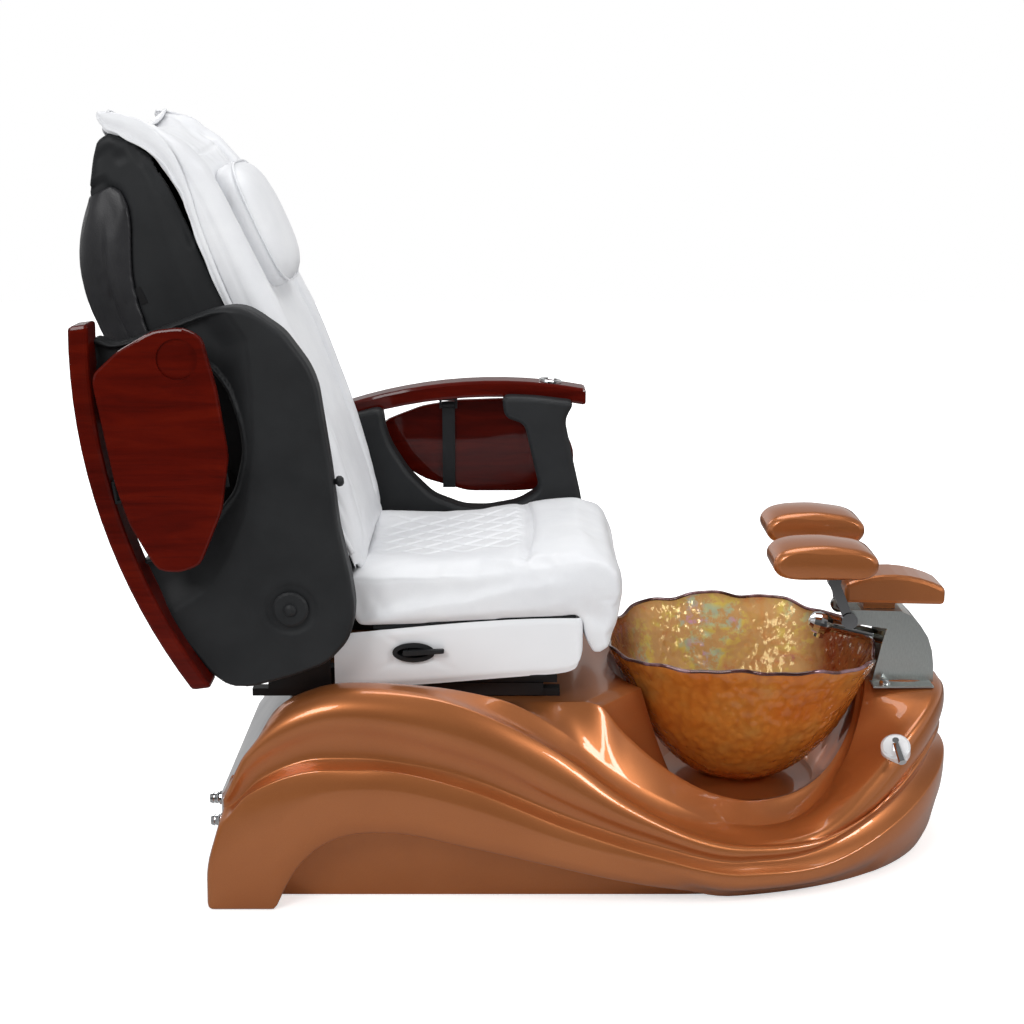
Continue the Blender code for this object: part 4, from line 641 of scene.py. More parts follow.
def base_moulding():
    lines = [rail_line(rail) for rail in RAILS]
    stations = len(lines[0])
    near = [column(lines, k) for k in range(stations)]
    # turn the rear edge inwards
    turn = 0.011
    for k in range(12):
        inset = max(0.0, 1 - (near[k][20].x - near[0][20].x) / turn)
        if inset <= 0:
            continue
        drop = turn * (1 - math.sqrt(max(0.0, 1 - inset * inset)))
        middle = Vector((near[k][20].x, -0.245, 0.12))
        for j, spot in enumerate(near[k]):
            if 8 < j < len(near[k]) - 12:
                towards = middle - spot
                towards.x = 0
                near[k][j] = spot + towards.normalized() * drop
    width = len(near[0])
    points = [p for col in near for p in col]
    faces = skin_grid(near)[1]
    far_start = len(points)
    points += [Vector((p.x, -p.y, p.z)) for col in near for p in col]
    faces += [tuple(far_start + i for i in face[::-1]) for face in faces]
    # upright returns that close the rear beside the panel
    for offset, sign in ((0, -1), (far_start, 1)):
        foot = len(points)
        points.append(Vector((REAR_X, sign * 0.245, 0.0)))
        ring = [offset + j for j in range(width)] + [foot]
        faces.append(ring if sign < 0 else ring[::-1])
    # deck, from the rear up its slope and forward to the shaped front edge
    inner = [near[k][-1] for k in range(stations)]
    front = next(k for k in range(stations) if inner[k].x >= DECK_CORNER.x)
    inner_index = [k * width + width - 1 for k in range(stations)]
    rows = []
    edge = deck_front(9)
    bend = front - DECK_BLEND
    for k in range(front + 1):
        row = [inner_index[k]]
        for spot in edge[1:-1]:
            x = inner[k].x
            if k >= bend:
                x = inner[bend].x + (spot.x - inner[bend].x) * ((k - bend) / DECK_BLEND)
            z = pocket_height(inner[k].x) if k < front - 3 else spot.z + 0.0035 * (front - k) / 3
            points.append(Vector((x, spot.y, z)))
            row.append(len(points) - 1)
        row.append(far_start + inner_index[k])
        rows.append(row)
    for a, b in zip(rows, rows[1:]):
        for s in range(len(a) - 1):
            faces.append((a[s], b[s], b[s + 1], a[s + 1]))
    # pocket for the bowl
    loop = ([inner_index[k] for k in range(front, stations)]
            + [far_start + inner_index[k] for k in range(stations - 2, front - 1, -1)]
            + rows[-1][1:-1][::-1])
    before = loop
    for r in range(1, POCKET_RINGS + 1):
        u = r / POCKET_RINGS
        ring = []
        for index in loop:
            spot = points[index]
            angle = math.atan2(spot.y, spot.x - BOWL_X)
            radius = math.hypot(spot.y, spot.x - BOWL_X)
            fall = (1 - u) ** 1.35
            at = radius + (WELL_RADIUS - radius) * u
            points.append(Vector((BOWL_X + at * math.cos(angle), at * math.sin(angle),
                                  WELL_Z + (spot.z - WELL_Z) * fall)))
            ring.append(len(points) - 1)
        for k in range(len(loop)):
            j = (k + 1) % len(loop)
            faces.append((before[k], ring[k], ring[j], before[j]))
        before = ring
    faces.append(before)
    skin = add("base_skin", points, faces)
    deck = max(skin.data.polygons, key=lambda p: p.area if abs(p.normal.z) > 0.99 else 0.0)
    if deck.normal.z < 0:
        skin.data.flip_normals()
    bevel(skin, 0.0022, 2, 26.0)
    modifier(skin, "SOLIDIFY", thickness=0.004, offset=-1.0, use_even_offset=False)
    crisp(skin, 30.0)
    finish(skin, "base", "copper", "copper", "base_shell")


base_moulding()


# ---------------------------------------------------------------- bowl
BOWL_RADIUS, BOWL_RIM_Z, BOWL_WALL = 0.257, 0.381, 0.0055
BOWL_FLOOR_Z = WELL_Z + 0.0006
BOWL_SIDE = [(0.0, 0.20), (0.02, 0.27), (0.06, 0.37), (0.14, 0.49), (0.26, 0.61), (0.40, 0.72),
             (0.56, 0.81), (0.72, 0.88), (0.87, 0.945), (1.0, 1.0)]


def rim_wave(angle):
    return (BOWL_RIM_Z - 0.006 * math.cos(angle) - 0.011 * math.cos(2 * angle)
            + 0.0034 * math.cos(11 * angle) + 0.0012 * math.cos(23 * angle + 1))


def bowl_spot(height, angle, inset):
    share = smooth_value(BOWL_SIDE, height)
    square = superellipse(angle, 2.3)
    scallop = 1 + 0.014 * height ** 3 * math.cos(11 * angle)
    radius = BOWL_RADIUS * share * (1 + (square - 1) * height) * scallop - inset
    floor = BOWL_FLOOR_Z + inset
    z = floor + (rim_wave(angle) - BOWL_FLOOR_Z - inset) * height
    return Vector((BOWL_X + radius * math.cos(angle), radius * math.sin(angle), z))


def dent(spot, size):
    """Hammered dimples, taller than they are wide."""
    place = Vector((spot.x * 74, spot.y * 74, spot.z * 46))
    near = noise.voronoi(place)[0][0]
    return size * (0.5 - near)


def foot_bowl():
    high = 84
    outside, inside = ([[bowl_spot(k / high, angle, inset) for angle in ring_of(300)]
                        for k in range(high + 1)] for inset in (0.0, BOWL_WALL))
    lip = list(zip(outside[-1], inside[-1]))
    rounded = []
    for j in range(1, 5):
        angle = math.pi * j / 5
        t = 0.5 - 0.5 * math.cos(angle)
        rounded.append([p.lerp(q, t) + Vector((0, 0, 0.0032 * math.sin(angle))) for p, q in lip])
    bowl = capped("bowl_glass", outside + rounded + inside[::-1], False)

    def hammer(spot, normal):
        height = (spot.z - BOWL_FLOOR_Z) / (rim_wave(0) - BOWL_FLOOR_Z)
        away = Vector((spot.x - BOWL_X, spot.y, 0)).dot(normal) > 0
        fade = ease(0.0, 0.10, height) * ease(1.04, 0.93, height)
        size = 0.0032 if away else 0.0018
        return spot + normal * (dent(spot, size) * fade - 0.0006 * fade)

    reshape(bowl, hammer)
    path = [(p + q) / 2 + Vector((0, 0, 0.0012)) for p, q in lip]
    bead = tube("bowl_rim", path, 0.0036, 12, True)
    finish(bead, "base", "glass_rim", "glass")
    finish(bowl, "base", "glass_out", "glass", "foot_bowl")
    bowl.data.materials.append(LOOKS["glass_in"])
    for face in bowl.data.polygons:
        spot = face.center
        inward = face.normal.x * (BOWL_X - spot.x) - face.normal.y * spot.y
        if inward > 0 and face.normal.z > -0.2 or face.normal.z > 0.9 and spot.z < 0.2:
            face.material_index = 1


foot_bowl()


# ---------------------------------------------------------------- padded pieces
CLOTH_FRAMES = 20
CLOTH = dict(use_pressure=True, uniform_pressure_force=3.0, quality=4, mass=0.35, tension_stiffness=12.0,
             compression_stiffness=12.0, bending_stiffness=0.8, vertex_group_mass="pin")


def puff(item, voxel, cap, pinned):
    """Swell a closed form into stuffed upholstery with a short cloth simulation.

    The cover moves by at most cap, and stays put by the share that pinned gives for a place."""
    remesh(item, voxel)
    relax(item, 0.5, 4)
    start = [v.co.copy() for v in item.data.vertices]
    group = item.vertex_groups.new(name="pin")
    for vert in item.data.vertices:
        weight = pinned(vert.co)
        if weight > 0:
            group.add([vert.index], weight, "REPLACE")
    cloth = item.modifiers.new("cloth", "CLOTH")
    for key, value in CLOTH.items():
        setattr(cloth.settings, key, value)
    cloth.settings.effector_weights.gravity = 0.0
    cloth.point_cache.frame_start = 1
    cloth.point_cache.frame_end = CLOTH_FRAMES
    for step in range(1, CLOTH_FRAMES + 1):
        scene.frame_set(step)
    settle(item)
    for vert, before in zip(item.data.vertices, start):
        shift = vert.co - before
        if shift.length > cap:
            vert.co = before + shift.normalized() * cap
    scene.frame_set(1)
    item.vertex_groups.clear()
    relax(item, 0.5, 2)
    return subdivide(item)


def groove(distance, width, depth):
    """How far a sewn seam pulls the cover in, at a distance from the thread."""
    return depth * math.exp(-(distance / width) ** 2)


SEAT_SIDE = [(-0.300, 0.476), (0.090, 0.498), (0.099, 0.490), (0.102, 0.456), (0.108, 0.428),
             (0.122, 0.420), (0.140, 0.432), (0.156, 0.486), (0.166, 0.545), (0.166, 0.584),
             (0.150, 0.606), (0.110, 0.615), (0.050, 0.609), (-0.100, 0.586), (-0.270, 0.572),
             (-0.320, 0.572), (-0.333, 0.556), (-0.328, 0.522)]
QUILT_X = (-0.300, 0.000)
QUILT_HALF = 0.165
QUILT_PITCH = 0.060


def seat_cushion():
    cushion = prism("seat_upholstery", SEAT_SIDE, -0.250, 0.250)
    bevel(cushion, 0.020, 4, 40.0)

    def pinned(spot):
        floor = 0.477 + (spot.x + 0.285) * 0.0627
        low = 1.0 if spot.z < floor + 0.006 and spot.x < 0.10 else 0.0
        seam = 0.75 if abs(spot.x - QUILT_X[1]) < 0.005 and spot.z > 0.56 and abs(spot.y) < 0.20 else 0.0
        return max(low, seam)

    puff(cushion, 0.007, 0.007, pinned)

    def sew(spot, normal):
        up = ease(0.35, 0.8, normal.z)
        wide = abs(spot.y)
        front = QUILT_X[1] + 0.012 * math.cos(spot.y * 8)
        dip = 0.0035 * up * ease(0.20, 0.10, wide) * ease(front + 0.01, front - 0.05, spot.x)
        # diamonds, deepest in the middle and fading out towards the sides
        u = (spot.x * 0.80 + spot.y) / QUILT_PITCH
        v = (spot.x * 0.80 - spot.y) / QUILT_PITCH
        quilted = (ease(QUILT_X[0] + 0.010, QUILT_X[0] + 0.060, spot.x)
                   * ease(front - 0.012, front - 0.026, spot.x)
                   * ease(QUILT_HALF, QUILT_HALF - 0.035, wide))
        near = min(abs(u - round(u)), abs(v - round(v))) * QUILT_PITCH
        dip += (groove(near, 0.0040, 0.0038) - 0.0010) * quilted * up
        dip += groove(abs(spot.x - front), 0.0042, 0.0052) * up * ease(0.205, 0.13, wide)
        dip -= groove(spot.x - front - 0.022, 0.014, 0.0030) * up * ease(0.21, 0.12, wide)
        # creases where the seam dies out, and a dimple in each flank over the front corner of the box
        for k in range(3):
            reach = Vector((spot.x, wide)) - Vector((front - 0.004 * k, 0.178 + 0.012 * k))
            run = reach.dot(Vector((0.62, 0.78)))
            off = abs(reach.dot(Vector((0.78, -0.62))))
            dip += groove(off, 0.0035, 0.0022) * ease(-0.004, 0.004, run) * ease(0.032, 0.012, run) * up
        flank = ease(0.6, 0.9, abs(normal.y))
        dip += groove(spot.x - 0.112, 0.014, 0.0040) * groove(spot.z - 0.500, 0.022, 1.0) * flank
        dip += (0.0028 * flank * ease(0.50, 0.56, spot.z) * ease(0.60, 0.575, spot.z)
                * ease(-0.06, -0.20, spot.x))
        dip += 0.0012 * noise.noise(spot * 11) + 0.0004 * noise.noise(spot * 45)
        roll = ease(0.50, 0.585, spot.z) * ease(0.125, 0.262, wide) ** 1.4
        ends = groove(wide - 0.17, 0.06, 0.012) * ease(-0.16, -0.28, spot.x) * ease(0.52, 0.58, spot.z)
        spot.z += ends - (0.008 + 0.008 * ease(-0.20, 0.05, spot.x)) * roll
        return spot - normal * dip

    reshape(cushion, sew)
    finish(cushion, "seat", "white_leather", "white_upholstery", "seat_cushion")


seat_cushion()

# The back is shaped upright, in (n, y, w): n out of its face and w up it from the recline pivot.
BACK = lean_frame((-0.335, 0.500), -24.0)
FACE = [(0.076, 0.050), (0.086, 0.080), (0.096, 0.130), (0.110, 0.200), (0.120, 0.290), (0.127, 0.400),
        (0.130, 0.500), (0.126, 0.600), (0.123, 0.720), (0.119, 0.800), (0.104, 0.860), (0.078, 0.905),
        (0.048, 0.931), (0.020, 0.943), (0.004, 0.938)]
REAR_LINE = [(0.060, 0.052), (0.062, 0.300), (0.060, 0.560), (0.064, 0.700), (0.066, 0.780),
             (0.055, 0.850), (0.030, 0.895), (-0.008, 0.924)]
REAR_KNOTS = [(w, n) for n, w in REAR_LINE]
BOLSTER_Y = 0.150
TOP_SAG = 0.030  # how far the middle of the top edge lies below its raised corners


def back_cushion():
    """Front upholstery of the back: a centre panel between side bolsters, and raised top corners."""
    rows = []
    slices = 40
    for k in range(slices + 1):
        y = -0.236 + 0.472 * k / slices
        side = abs(y) / 0.236
        row = []
        for n, w in FACE:
            high = ease(0.80, 0.93, w)
            crown = groove(abs(y) - 0.185, 0.045, 0.002 + 0.006 * ease(0.2, 0.5, w)) * (1 - high)
            panel = -0.012 * ease(0.175, 0.12, abs(y)) * ease(0.10, 0.2, w) * (1 - high)
            corner = 0.020 * ease(0.86, 1.0, side) ** 2 * (1 - high)
            sag = -TOP_SAG * high * (1 - side ** 2)
            row.append(Vector((n + crown + panel - corner - 0.004, y, w + sag)))
        for n, w in REAR_LINE[::-1]:
            high = ease(0.80, 0.93, w)
            row.append(Vector((n, y, w - TOP_SAG * high * (1 - side ** 2))))
        rows.append(row)
    cushion = capped("back_upholstery", rows)
    bevel(cushion, 0.016, 3, 50.0)

    def pinned(spot):
        behind = 1.0 if spot.x < smooth_value(REAR_KNOTS, spot.z) + 0.007 else 0.0
        seam = 0.7 if abs(abs(spot.y) - BOLSTER_Y) < 0.005 and 0.1 < spot.z < 0.86 else 0.0
        return max(behind, seam)

    puff(cushion, 0.0075, 0.008, pinned)

    def sew(spot, normal):
        forward = ease(0.2, 0.6, normal.x)
        run = ease(0.09, 0.14, spot.z) * ease(0.885, 0.84, spot.z)
        dip = groove(abs(abs(spot.y) - BOLSTER_Y), 0.0055, 0.006) * forward * run
        neck = abs(spot.z - 0.835 - 0.02 * (spot.y / 0.2) ** 2)
        dip += groove(neck, 0.0045, 0.0035) * ease(0.16, 0.14, abs(spot.y))
        flank = ease(0.5, 0.85, abs(normal.y))
        fold = smooth_value([(0.1, 0.086), (0.5, 0.090), (0.75, 0.096), (0.85, 0.088)], spot.z)
        dip += groove(abs(spot.x - fold), 0.004, 0.0022) * flank
        dip += 0.0016 * noise.noise(spot * 11) + 0.0006 * noise.noise(spot * 40)
        gathers = noise.noise(Vector((spot.x * 30, spot.y * 30, spot.z * 6)))
        dip += 0.0022 * gathers * ease(0.7, 0.85, spot.z)
        return spot - normal * dip

    reshape(cushion, sew)
    move(cushion, BACK)
    finish(cushion, "backrest", "white_leather", "white_upholstery", "back_cushion")


back_cushion()

# the cover's free edge: (n, w) of its fold and of its hem, from the top rear corner down each side
FOLD = [(0.0045, 0.9525), (0.024, 0.9435), (0.045, 0.928), (0.067, 0.908), (0.083, 0.871),
        (0.090, 0.829), (0.086, 0.772), (0.079, 0.728), (0.073, 0.669), (0.069, 0.606), (0.067, 0.500),
        (0.067, 0.320), (0.072, 0.090)]
HEM = [(0.003, 0.9500), (0.004, 0.9270), (0.016, 0.912), (0.035, 0.889), (0.061, 0.846),
       (0.070, 0.806), (0.074, 0.774), (0.067, 0.735), (0.063, 0.676), (0.058, 0.616), (0.055, 0.505),
       (0.055, 0.322), (0.060, 0.090)]


def spline(points, count):
    """Evenly spread points on a smooth curve through the given ones."""
    curve = []
    last = len(points) - 1
    for k in range(count):
        t = last * k / (count - 1)
        i = min(int(t), last - 1)
        f = t - i
        p = [Vector(points[max(0, min(last, j))]) for j in (i - 1, i, i + 1, i + 2)]
        curve.append(0.5 * (2 * p[1] + (p[2] - p[0]) * f + (2 * p[0] - 5 * p[1] + 4 * p[2] - p[3]) * f * f
                            + (3 * p[1] - p[0] - 3 * p[2] + p[3]) * f ** 3))
    return curve


def cover_flap(sign, side):
    """Loose edge of the cover that laps over the shell's side, with a wavy hem."""
    steps, deep = 150, 12
    fold, hem = spline(FOLD, steps), spline(HEM, steps)
    outer = []
    for k in range(steps):
        t = k / (steps - 1)
        wave = 0.5 * math.sin(29 * t + 0.6) + 0.35 * math.sin(61 * t) + 0.25 * math.sin(13 * t)
        row = []
        for j in range(deep + 1):
            u = j / deep
            flat = fold[k].lerp(hem[k], u)
            out = (0.2365 + 0.0035 * math.sin(math.pi * min(1.0, u * 1.3))
                   + (0.0022 * wave + 0.0015) * u ** 2)
            slip = (hem[k] - fold[k]).normalized() * (0.0022 * wave * u ** 3)
            row.append(Vector((flat.x + slip.x, sign * out, flat.y + slip.y)))
        outer.append(row)
    flap = add(f"cover_flap_{side}", *skin_grid(outer))
    modifier(flap, "SOLIDIFY", thickness=0.0026, offset=0.0, use_even_offset=True)
    hem_bead = tube("hem", [row[-1] for row in outer], 0.0024)
    stitch = tube("stitch", [row[-3] + Vector((0, sign * 0.0012, 0)) for row in outer], 0.0006, 6)
    join(flap, hem_bead, stitch)
    move(flap, BACK)
    finish(flap, "backrest", "white_leather", "white_upholstery")


cover_flap(-1, "right")
cover_flap(1, "left")


def top_flap():
    """The cover's top edge: it laps back over the shell between the raised corners."""
    rows = []
    steps = 72
    for k in range(steps + 1):
        y = -0.2375 + 0.475 * k / steps
        side = abs(y) / 0.2375
        sag = -TOP_SAG * (1 - side ** 2)
        wave = 0.0016 * math.sin(y * 95) + 0.001 * math.sin(y * 41 + 1)
        row = []
        for j in range(9):
            u = j / 8
            reach = 1 - side ** 6
            n = 0.026 - (0.004 + 0.042 * reach) * u
            w = (0.9465 + 0.003 * math.sin(math.pi * u) * reach - 0.018 * reach * u ** 1.6
                 + sag * (1 - 0.45 * u) + wave * u * reach)
            row.append(Vector((n, y, w)))
        rows.append(row)
    flap = add("cover_flap_top", *skin_grid(rows))
    modifier(flap, "SOLIDIFY", thickness=0.0030, offset=0.0, use_even_offset=True)
    join(flap, tube("hem", [row[-1] for row in rows], 0.0026))
    move(flap, BACK)
    finish(flap, "backrest", "white_leather", "white_upholstery")


top_flap()


PILLOW_LOW, PILLOW_HIGH, PILLOW_HALF = 0.560, 0.796, 0.138
# sections from the back of the pillow to its face: depth, share of the outline
PILLOW_SECTIONS = [(0.108, 0.84), (0.109, 0.93), (0.115, 0.985), (0.130, 1.0), (0.142, 0.985),
                   (0.153, 0.93), (0.162, 0.84), (0.169, 0.70), (0.173, 0.52), (0.175, 0.30),
                   (0.1755, 0.10)]


def pillow_ring(n, share, extra, count):
    """The pillow's outline at depth n, scaled by a share and grown by a margin."""
    wide = PILLOW_HALF * share + extra
    tall = (PILLOW_HIGH - PILLOW_LOW) / 2 * share + extra
    ring = []
    for angle in ring_of(count):
        size = superellipse(angle, 3.4)
        ring.append(Vector((n, wide * math.cos(angle) * size,
                            (PILLOW_LOW + PILLOW_HIGH) / 2 + tall * math.sin(angle) * size)))
    return ring


def head_pillow():
    pillow = capped("pillow", [pillow_ring(n, share, 0.0, 64) for n, share in PILLOW_SECTIONS], False)
    face_line = [(w, n - 0.004) for n, w in FACE[:9]]

    def pinned(spot):
        return 1.0 if spot.x < 0.122 else 0.0

    puff(pillow, 0.0055, 0.007, pinned)

    def seat(spot, normal):
        rest = smooth_value(face_line, spot.z) - 0.0125 - 0.006 * ease(0.115, 0.135, abs(spot.y))
        lift = max(0.0, rest - spot.x)
        dip = 0.0008 * noise.noise(spot * 18) + 0.0004 * noise.noise(spot * 60)
        return Vector((spot.x + lift, spot.y, spot.z)) - normal * dip

    reshape(pillow, seat)
    join(pillow, tube("piping", pillow_ring(0.1475, 0.958, 0.0025, 120), 0.0020, 8, True))
    move(pillow, BACK)
    finish(pillow, "backrest", "white_leather", "white_upholstery", "head_pillow")
    # strap and its buckle at the pillow's rear edge
    for sign, side in ((-1, "right"), (1, "left")):
        buckle = prism(f"pillow_buckle_{side}",
                       [(0.098, 0.724), (0.116, 0.729), (0.120, 0.746), (0.103, 0.744)],
                       sign * 0.140, sign * 0.1600)
        bevel(buckle, 0.0018, 2)
        strap = prism("strap", [(0.1035, 0.600), (0.1065, 0.598), (0.1105, 0.735), (0.107, 0.735)],
                      sign * 0.141, sign * 0.1520)
        bevel(strap, 0.0005, 2)
        join(buckle, strap)
        move(buckle, BACK)
        finish(buckle, "backrest", "black", "black_plastic")


head_pillow()

# the pad wraps round the rear of the shell: its depth behind, and where it meets the shell's flank
PAD_LINE = [(0.205, -0.136), (0.25, -0.148), (0.32, -0.158), (0.42, -0.165), (0.60, -0.169),
            (0.69, -0.168), (0.73, -0.160), (0.767, -0.144), (0.797, -0.124), (0.825, -0.102),
            (0.842, -0.086)]
PAD_EDGE = [(0.205, -0.116), (0.30, -0.104), (0.40, -0.097), (0.587, -0.085), (0.639, -0.079),
            (0.688, -0.066), (0.733, -0.046), (0.777, -0.025), (0.818, -0.018), (0.835, -0.026),
            (0.842, -0.034)]
SHELL_LINE = [(0.150, -0.128), (0.400, -0.134), (0.600, -0.125), (0.750, -0.102), (0.840, -0.075)]
PAD_SIDE = 0.2375


def round_corner(deep, edge, side, radius):
    """Half of a U in (n, y): along the flank from the edge, round a corner, then in to the middle."""
    radius = min(radius, (edge - deep) * 0.9)
    path = [(edge + (deep + radius - edge) * k / 6, side) for k in range(6)]
    for k in range(9):
        angle = math.pi / 2 * k / 8
        path.append((deep + radius - radius * math.sin(angle), side - radius + radius * math.cos(angle)))
    path += [(deep, (side - radius) * (1 - k / 7)) for k in range(1, 8)]
    return path


def back_pad():
    """Black leatherette pad that bulges from the back of the shell."""
    rows = []
    for k in range(34):
        w = 0.208 + (0.840 - 0.208) * k / 33
        edge = smooth_value(PAD_EDGE, w)
        deep = min(smooth_value(PAD_LINE, w), smooth_value(SHELL_LINE, w) - 0.006)
        taper = 0.010 * ease(0.79, 0.84, w) + 0.006 * ease(0.26, 0.208, w)
        outer = round_corner(deep, edge, PAD_SIDE - taper, 0.050)
        inner = round_corner(smooth_value(SHELL_LINE, w) - 0.0015, edge, 0.2235, 0.034)
        loop = [(n, -y) for n, y in outer] + [(n, y) for n, y in outer[-2::-1]]
        loop += [(n, y) for n, y in inner] + [(n, -y) for n, y in inner[-2::-1]]
        rows.append([Vector((n, y, w)) for n, y in loop])
    pad = capped("back_pad_leather", rows)

    def pinned(spot):
        inside = spot.x > smooth_value(SHELL_LINE, spot.z) - 0.004 and abs(spot.y) < 0.227
        at_edge = spot.x > smooth_value(PAD_EDGE, spot.z) - 0.006
        return 1.0 if inside or at_edge else 0.0

    puff(pad, 0.0055, 0.005, pinned)

    def sew(spot, normal):
        edge = smooth_value(PAD_EDGE, spot.z)
        flank = ease(0.5, 0.85, abs(normal.y))
        outer = ease(0.226, 0.230, abs(spot.y))
        seam = edge - 0.030 - 0.02 * ease(0.5, 0.8, spot.z)
        dip = groove(abs(spot.x - seam), 0.0030, 0.0030) * flank * outer * ease(0.79, 0.74, spot.z)
        dip += groove(abs(abs(spot.y) - 0.150), 0.0035, 0.0026) * ease(-0.5, -0.8, normal.x)
        dip += 0.0016 * noise.noise(Vector((spot.x * 10, spot.y * 9, spot.z * 6)))
        creases = noise.noise(Vector((spot.x * 40, spot.y * 40, spot.z * 9)))
        dip += 0.0011 * creases * ease(0.50, 0.30, spot.z)
        hidden = abs(spot.y) <= 0.2265 and spot.x >= smooth_value(SHELL_LINE, spot.z) - 0.004
        return spot if hidden else spot - normal * dip

    reshape(pad, sew)
    move(pad, BACK)
    finish(pad, "backrest", "black_leather", "black_upholstery", "back_pad")


back_pad()


# ---------------------------------------------------------------- black shell of the back
def back_shell():
    """Open-fronted moulded shell with a rolled rim, set in where the pad wraps round it."""
    outline = [(0.060, 0.070), (0.060, 0.790), (0.053, 0.845), (0.030, 0.890), (0.004, 0.917),
               (-0.022, 0.912), (-0.042, 0.888), (-0.074, 0.840), (-0.100, 0.750), (-0.123, 0.600),
               (-0.132, 0.400), (-0.126, 0.150), (-0.105, 0.062), (0.030, 0.058)]
    shell = prism("back_shell_skin", outline, -0.234, 0.234)
    bevel(shell, 0.013, 4, 60.0)
    remesh(shell, 0.0055)
    relax(shell, 0.5, 3)
    rim = [(0.060, 0.700), (0.058, 0.790), (0.051, 0.843), (0.028, 0.888), (0.002, 0.914),
           (-0.022, 0.910)]
    ridge = [(0.080, 0.034), (0.300, 0.010), (0.560, 0.006), (0.720, 0.014), (0.800, 0.026),
             (0.900, 0.030)]

    def shape(spot, normal):
        flank = ease(0.70, 0.95, abs(normal.y))
        edge = smooth_value(PAD_EDGE, spot.z)
        under = ease(0.002, -0.006, spot.x - edge) if 0.200 < spot.z < 0.850 else 0.0
        wide = max(0.0, abs(spot.y) - 0.200) / 0.034
        inset = 0.0125 * under * min(1.0, wide)
        behind = smooth_value(ridge, spot.z) - spot.x
        step = 0.0045 * ease(0.0, 0.06, behind) + 0.0012 * ease(0.0, 0.005, behind)
        inset += step * flank * (1 - under)
        gap = line_distance(spot.x, spot.z, rim)[0]
        inset -= 0.0032 * ease(0.019, 0.014, gap) * flank
        # shallow moulded notch near the top
        notch = max(abs(spot.x - 0.004) / 0.010, abs(spot.z - 0.872) / 0.008)
        inset += 0.0022 * ease(1.15, 0.85, notch) * flank
        spot.y -= math.copysign(inset, spot.y)
        return spot

    reshape(shell, shape)
    bm = bmesh.new()
    bm.from_mesh(shell.data)
    away = [f for f in bm.faces if f.calc_center_median().x > 0.050 and f.normal.x > 0.5]
    bmesh.ops.delete(bm, geom=away, context="FACES")
    bm.to_mesh(shell.data)
    bm.free()
    modifier(shell, "SOLIDIFY", thickness=0.0050, offset=-1.0, use_even_offset=False)
    move(shell, BACK)
    finish(shell, "backrest", "black", "black_plastic", "back_shell")


back_shell()


# ---------------------------------------------------------------- seat box
BOX_REAR = -0.345
CUP = (-0.203, 0.431)
CUP_RADII = (0.036, 0.016)


def cup_dish(x, z):
    """How far the box's side is pressed in round the lever's cup, with three shallow rays."""
    u = (x - CUP[0] + 0.006) / (CUP_RADII[0] + 0.014)
    v = (z - CUP[1] + 0.002) / (CUP_RADII[1] + 0.012)
    dish = 0.0050 * math.exp(-(u * u + v * v) ** 1.4)
    for slope, way in ((0.62, -1), (-0.50, -1), (-0.42, 1)):
        reach = (x - CUP[0]) * way
        off = z - CUP[1] - slope * reach
        dish += groove(off, 0.007, 0.0014) * ease(0.015, 0.03, reach) * ease(0.085, 0.04, reach)
    return dish


def seat_box():
    """White surround with rounded front corners, dished round the lever's cup."""
    low = [(BOX_REAR, 0.3625), (0.030, 0.3870), (0.068, 0.3915), (0.086, 0.3985), (0.096, 0.409),
           (0.1005, 0.424)]
    high = [(BOX_REAR, 0.4385), (-0.331, 0.455), (-0.310, 0.4665), (0.070, 0.4935), (0.1005, 0.4935)]
    radius, half, front = 0.014, 0.2498, 0.1000
    path = [Vector((BOX_REAR + (front - radius - BOX_REAR) * k / 96, -half)) for k in range(97)]
    for k in range(1, 10):
        angle = math.pi / 2 * k / 10
        path.append(Vector((front - radius + radius * math.sin(angle),
                            -half + radius * (1 - math.cos(angle)))))
    path += [Vector((front, -half + radius + (2 * half - 2 * radius) * k / 40)) for k in range(41)]
    path += [Vector((p.x, -p.y)) for p in path[105::-1]]
    rows = []
    for spot in path:
        x, y = spot
        bottom, top = smooth_value(low, x), smooth_value(high, x)
        row = []
        for j in range(29):
            t = j / 28
            z = bottom + (top - bottom) * t
            tuck = 0.0045 * (1 - ease(0.0, 0.16, t)) ** 2 + 0.003 * ease(0.9, 1.0, t)
            dish = cup_dish(x, z) if y < -0.2 and x < 0.07 else 0.0
            if abs(y) < half - radius:
                inward = Vector((-1, 0, 0))
            elif abs(y) > half - radius and x < front - radius:
                inward = Vector((0, -1 if y > 0 else 1, 0))
            else:
                inward = Vector((front - radius - x, math.copysign(half - radius, y) - y, 0)).normalized()
            row.append(Vector((x, y, z)) + inward * (tuck + dish))
        rows.append(row)
    box = add("seat_box_skin", *skin_grid(rows))
    middle = Vector((-0.1, 0, 0.43))
    outward = sum((f.normal.dot(f.center - middle) for f in box.data.polygons))
    if outward < 0:
        box.data.flip_normals()
    modifier(box, "SOLIDIFY", thickness=0.0038, offset=-1.0, use_even_offset=True)
    oval = [(CUP[0] + (CUP_RADII[0] - 0.001) * math.cos(angle),
             CUP[1] + (CUP_RADII[1] - 0.001) * math.sin(angle)) for angle in ring_of(48)]
    cut(box, prism("cutter", oval, -0.27, -0.235))
    crisp(box, 40.0)
    finish(box, "seat", "white", "white_plastic", "seat_box")


seat_box()


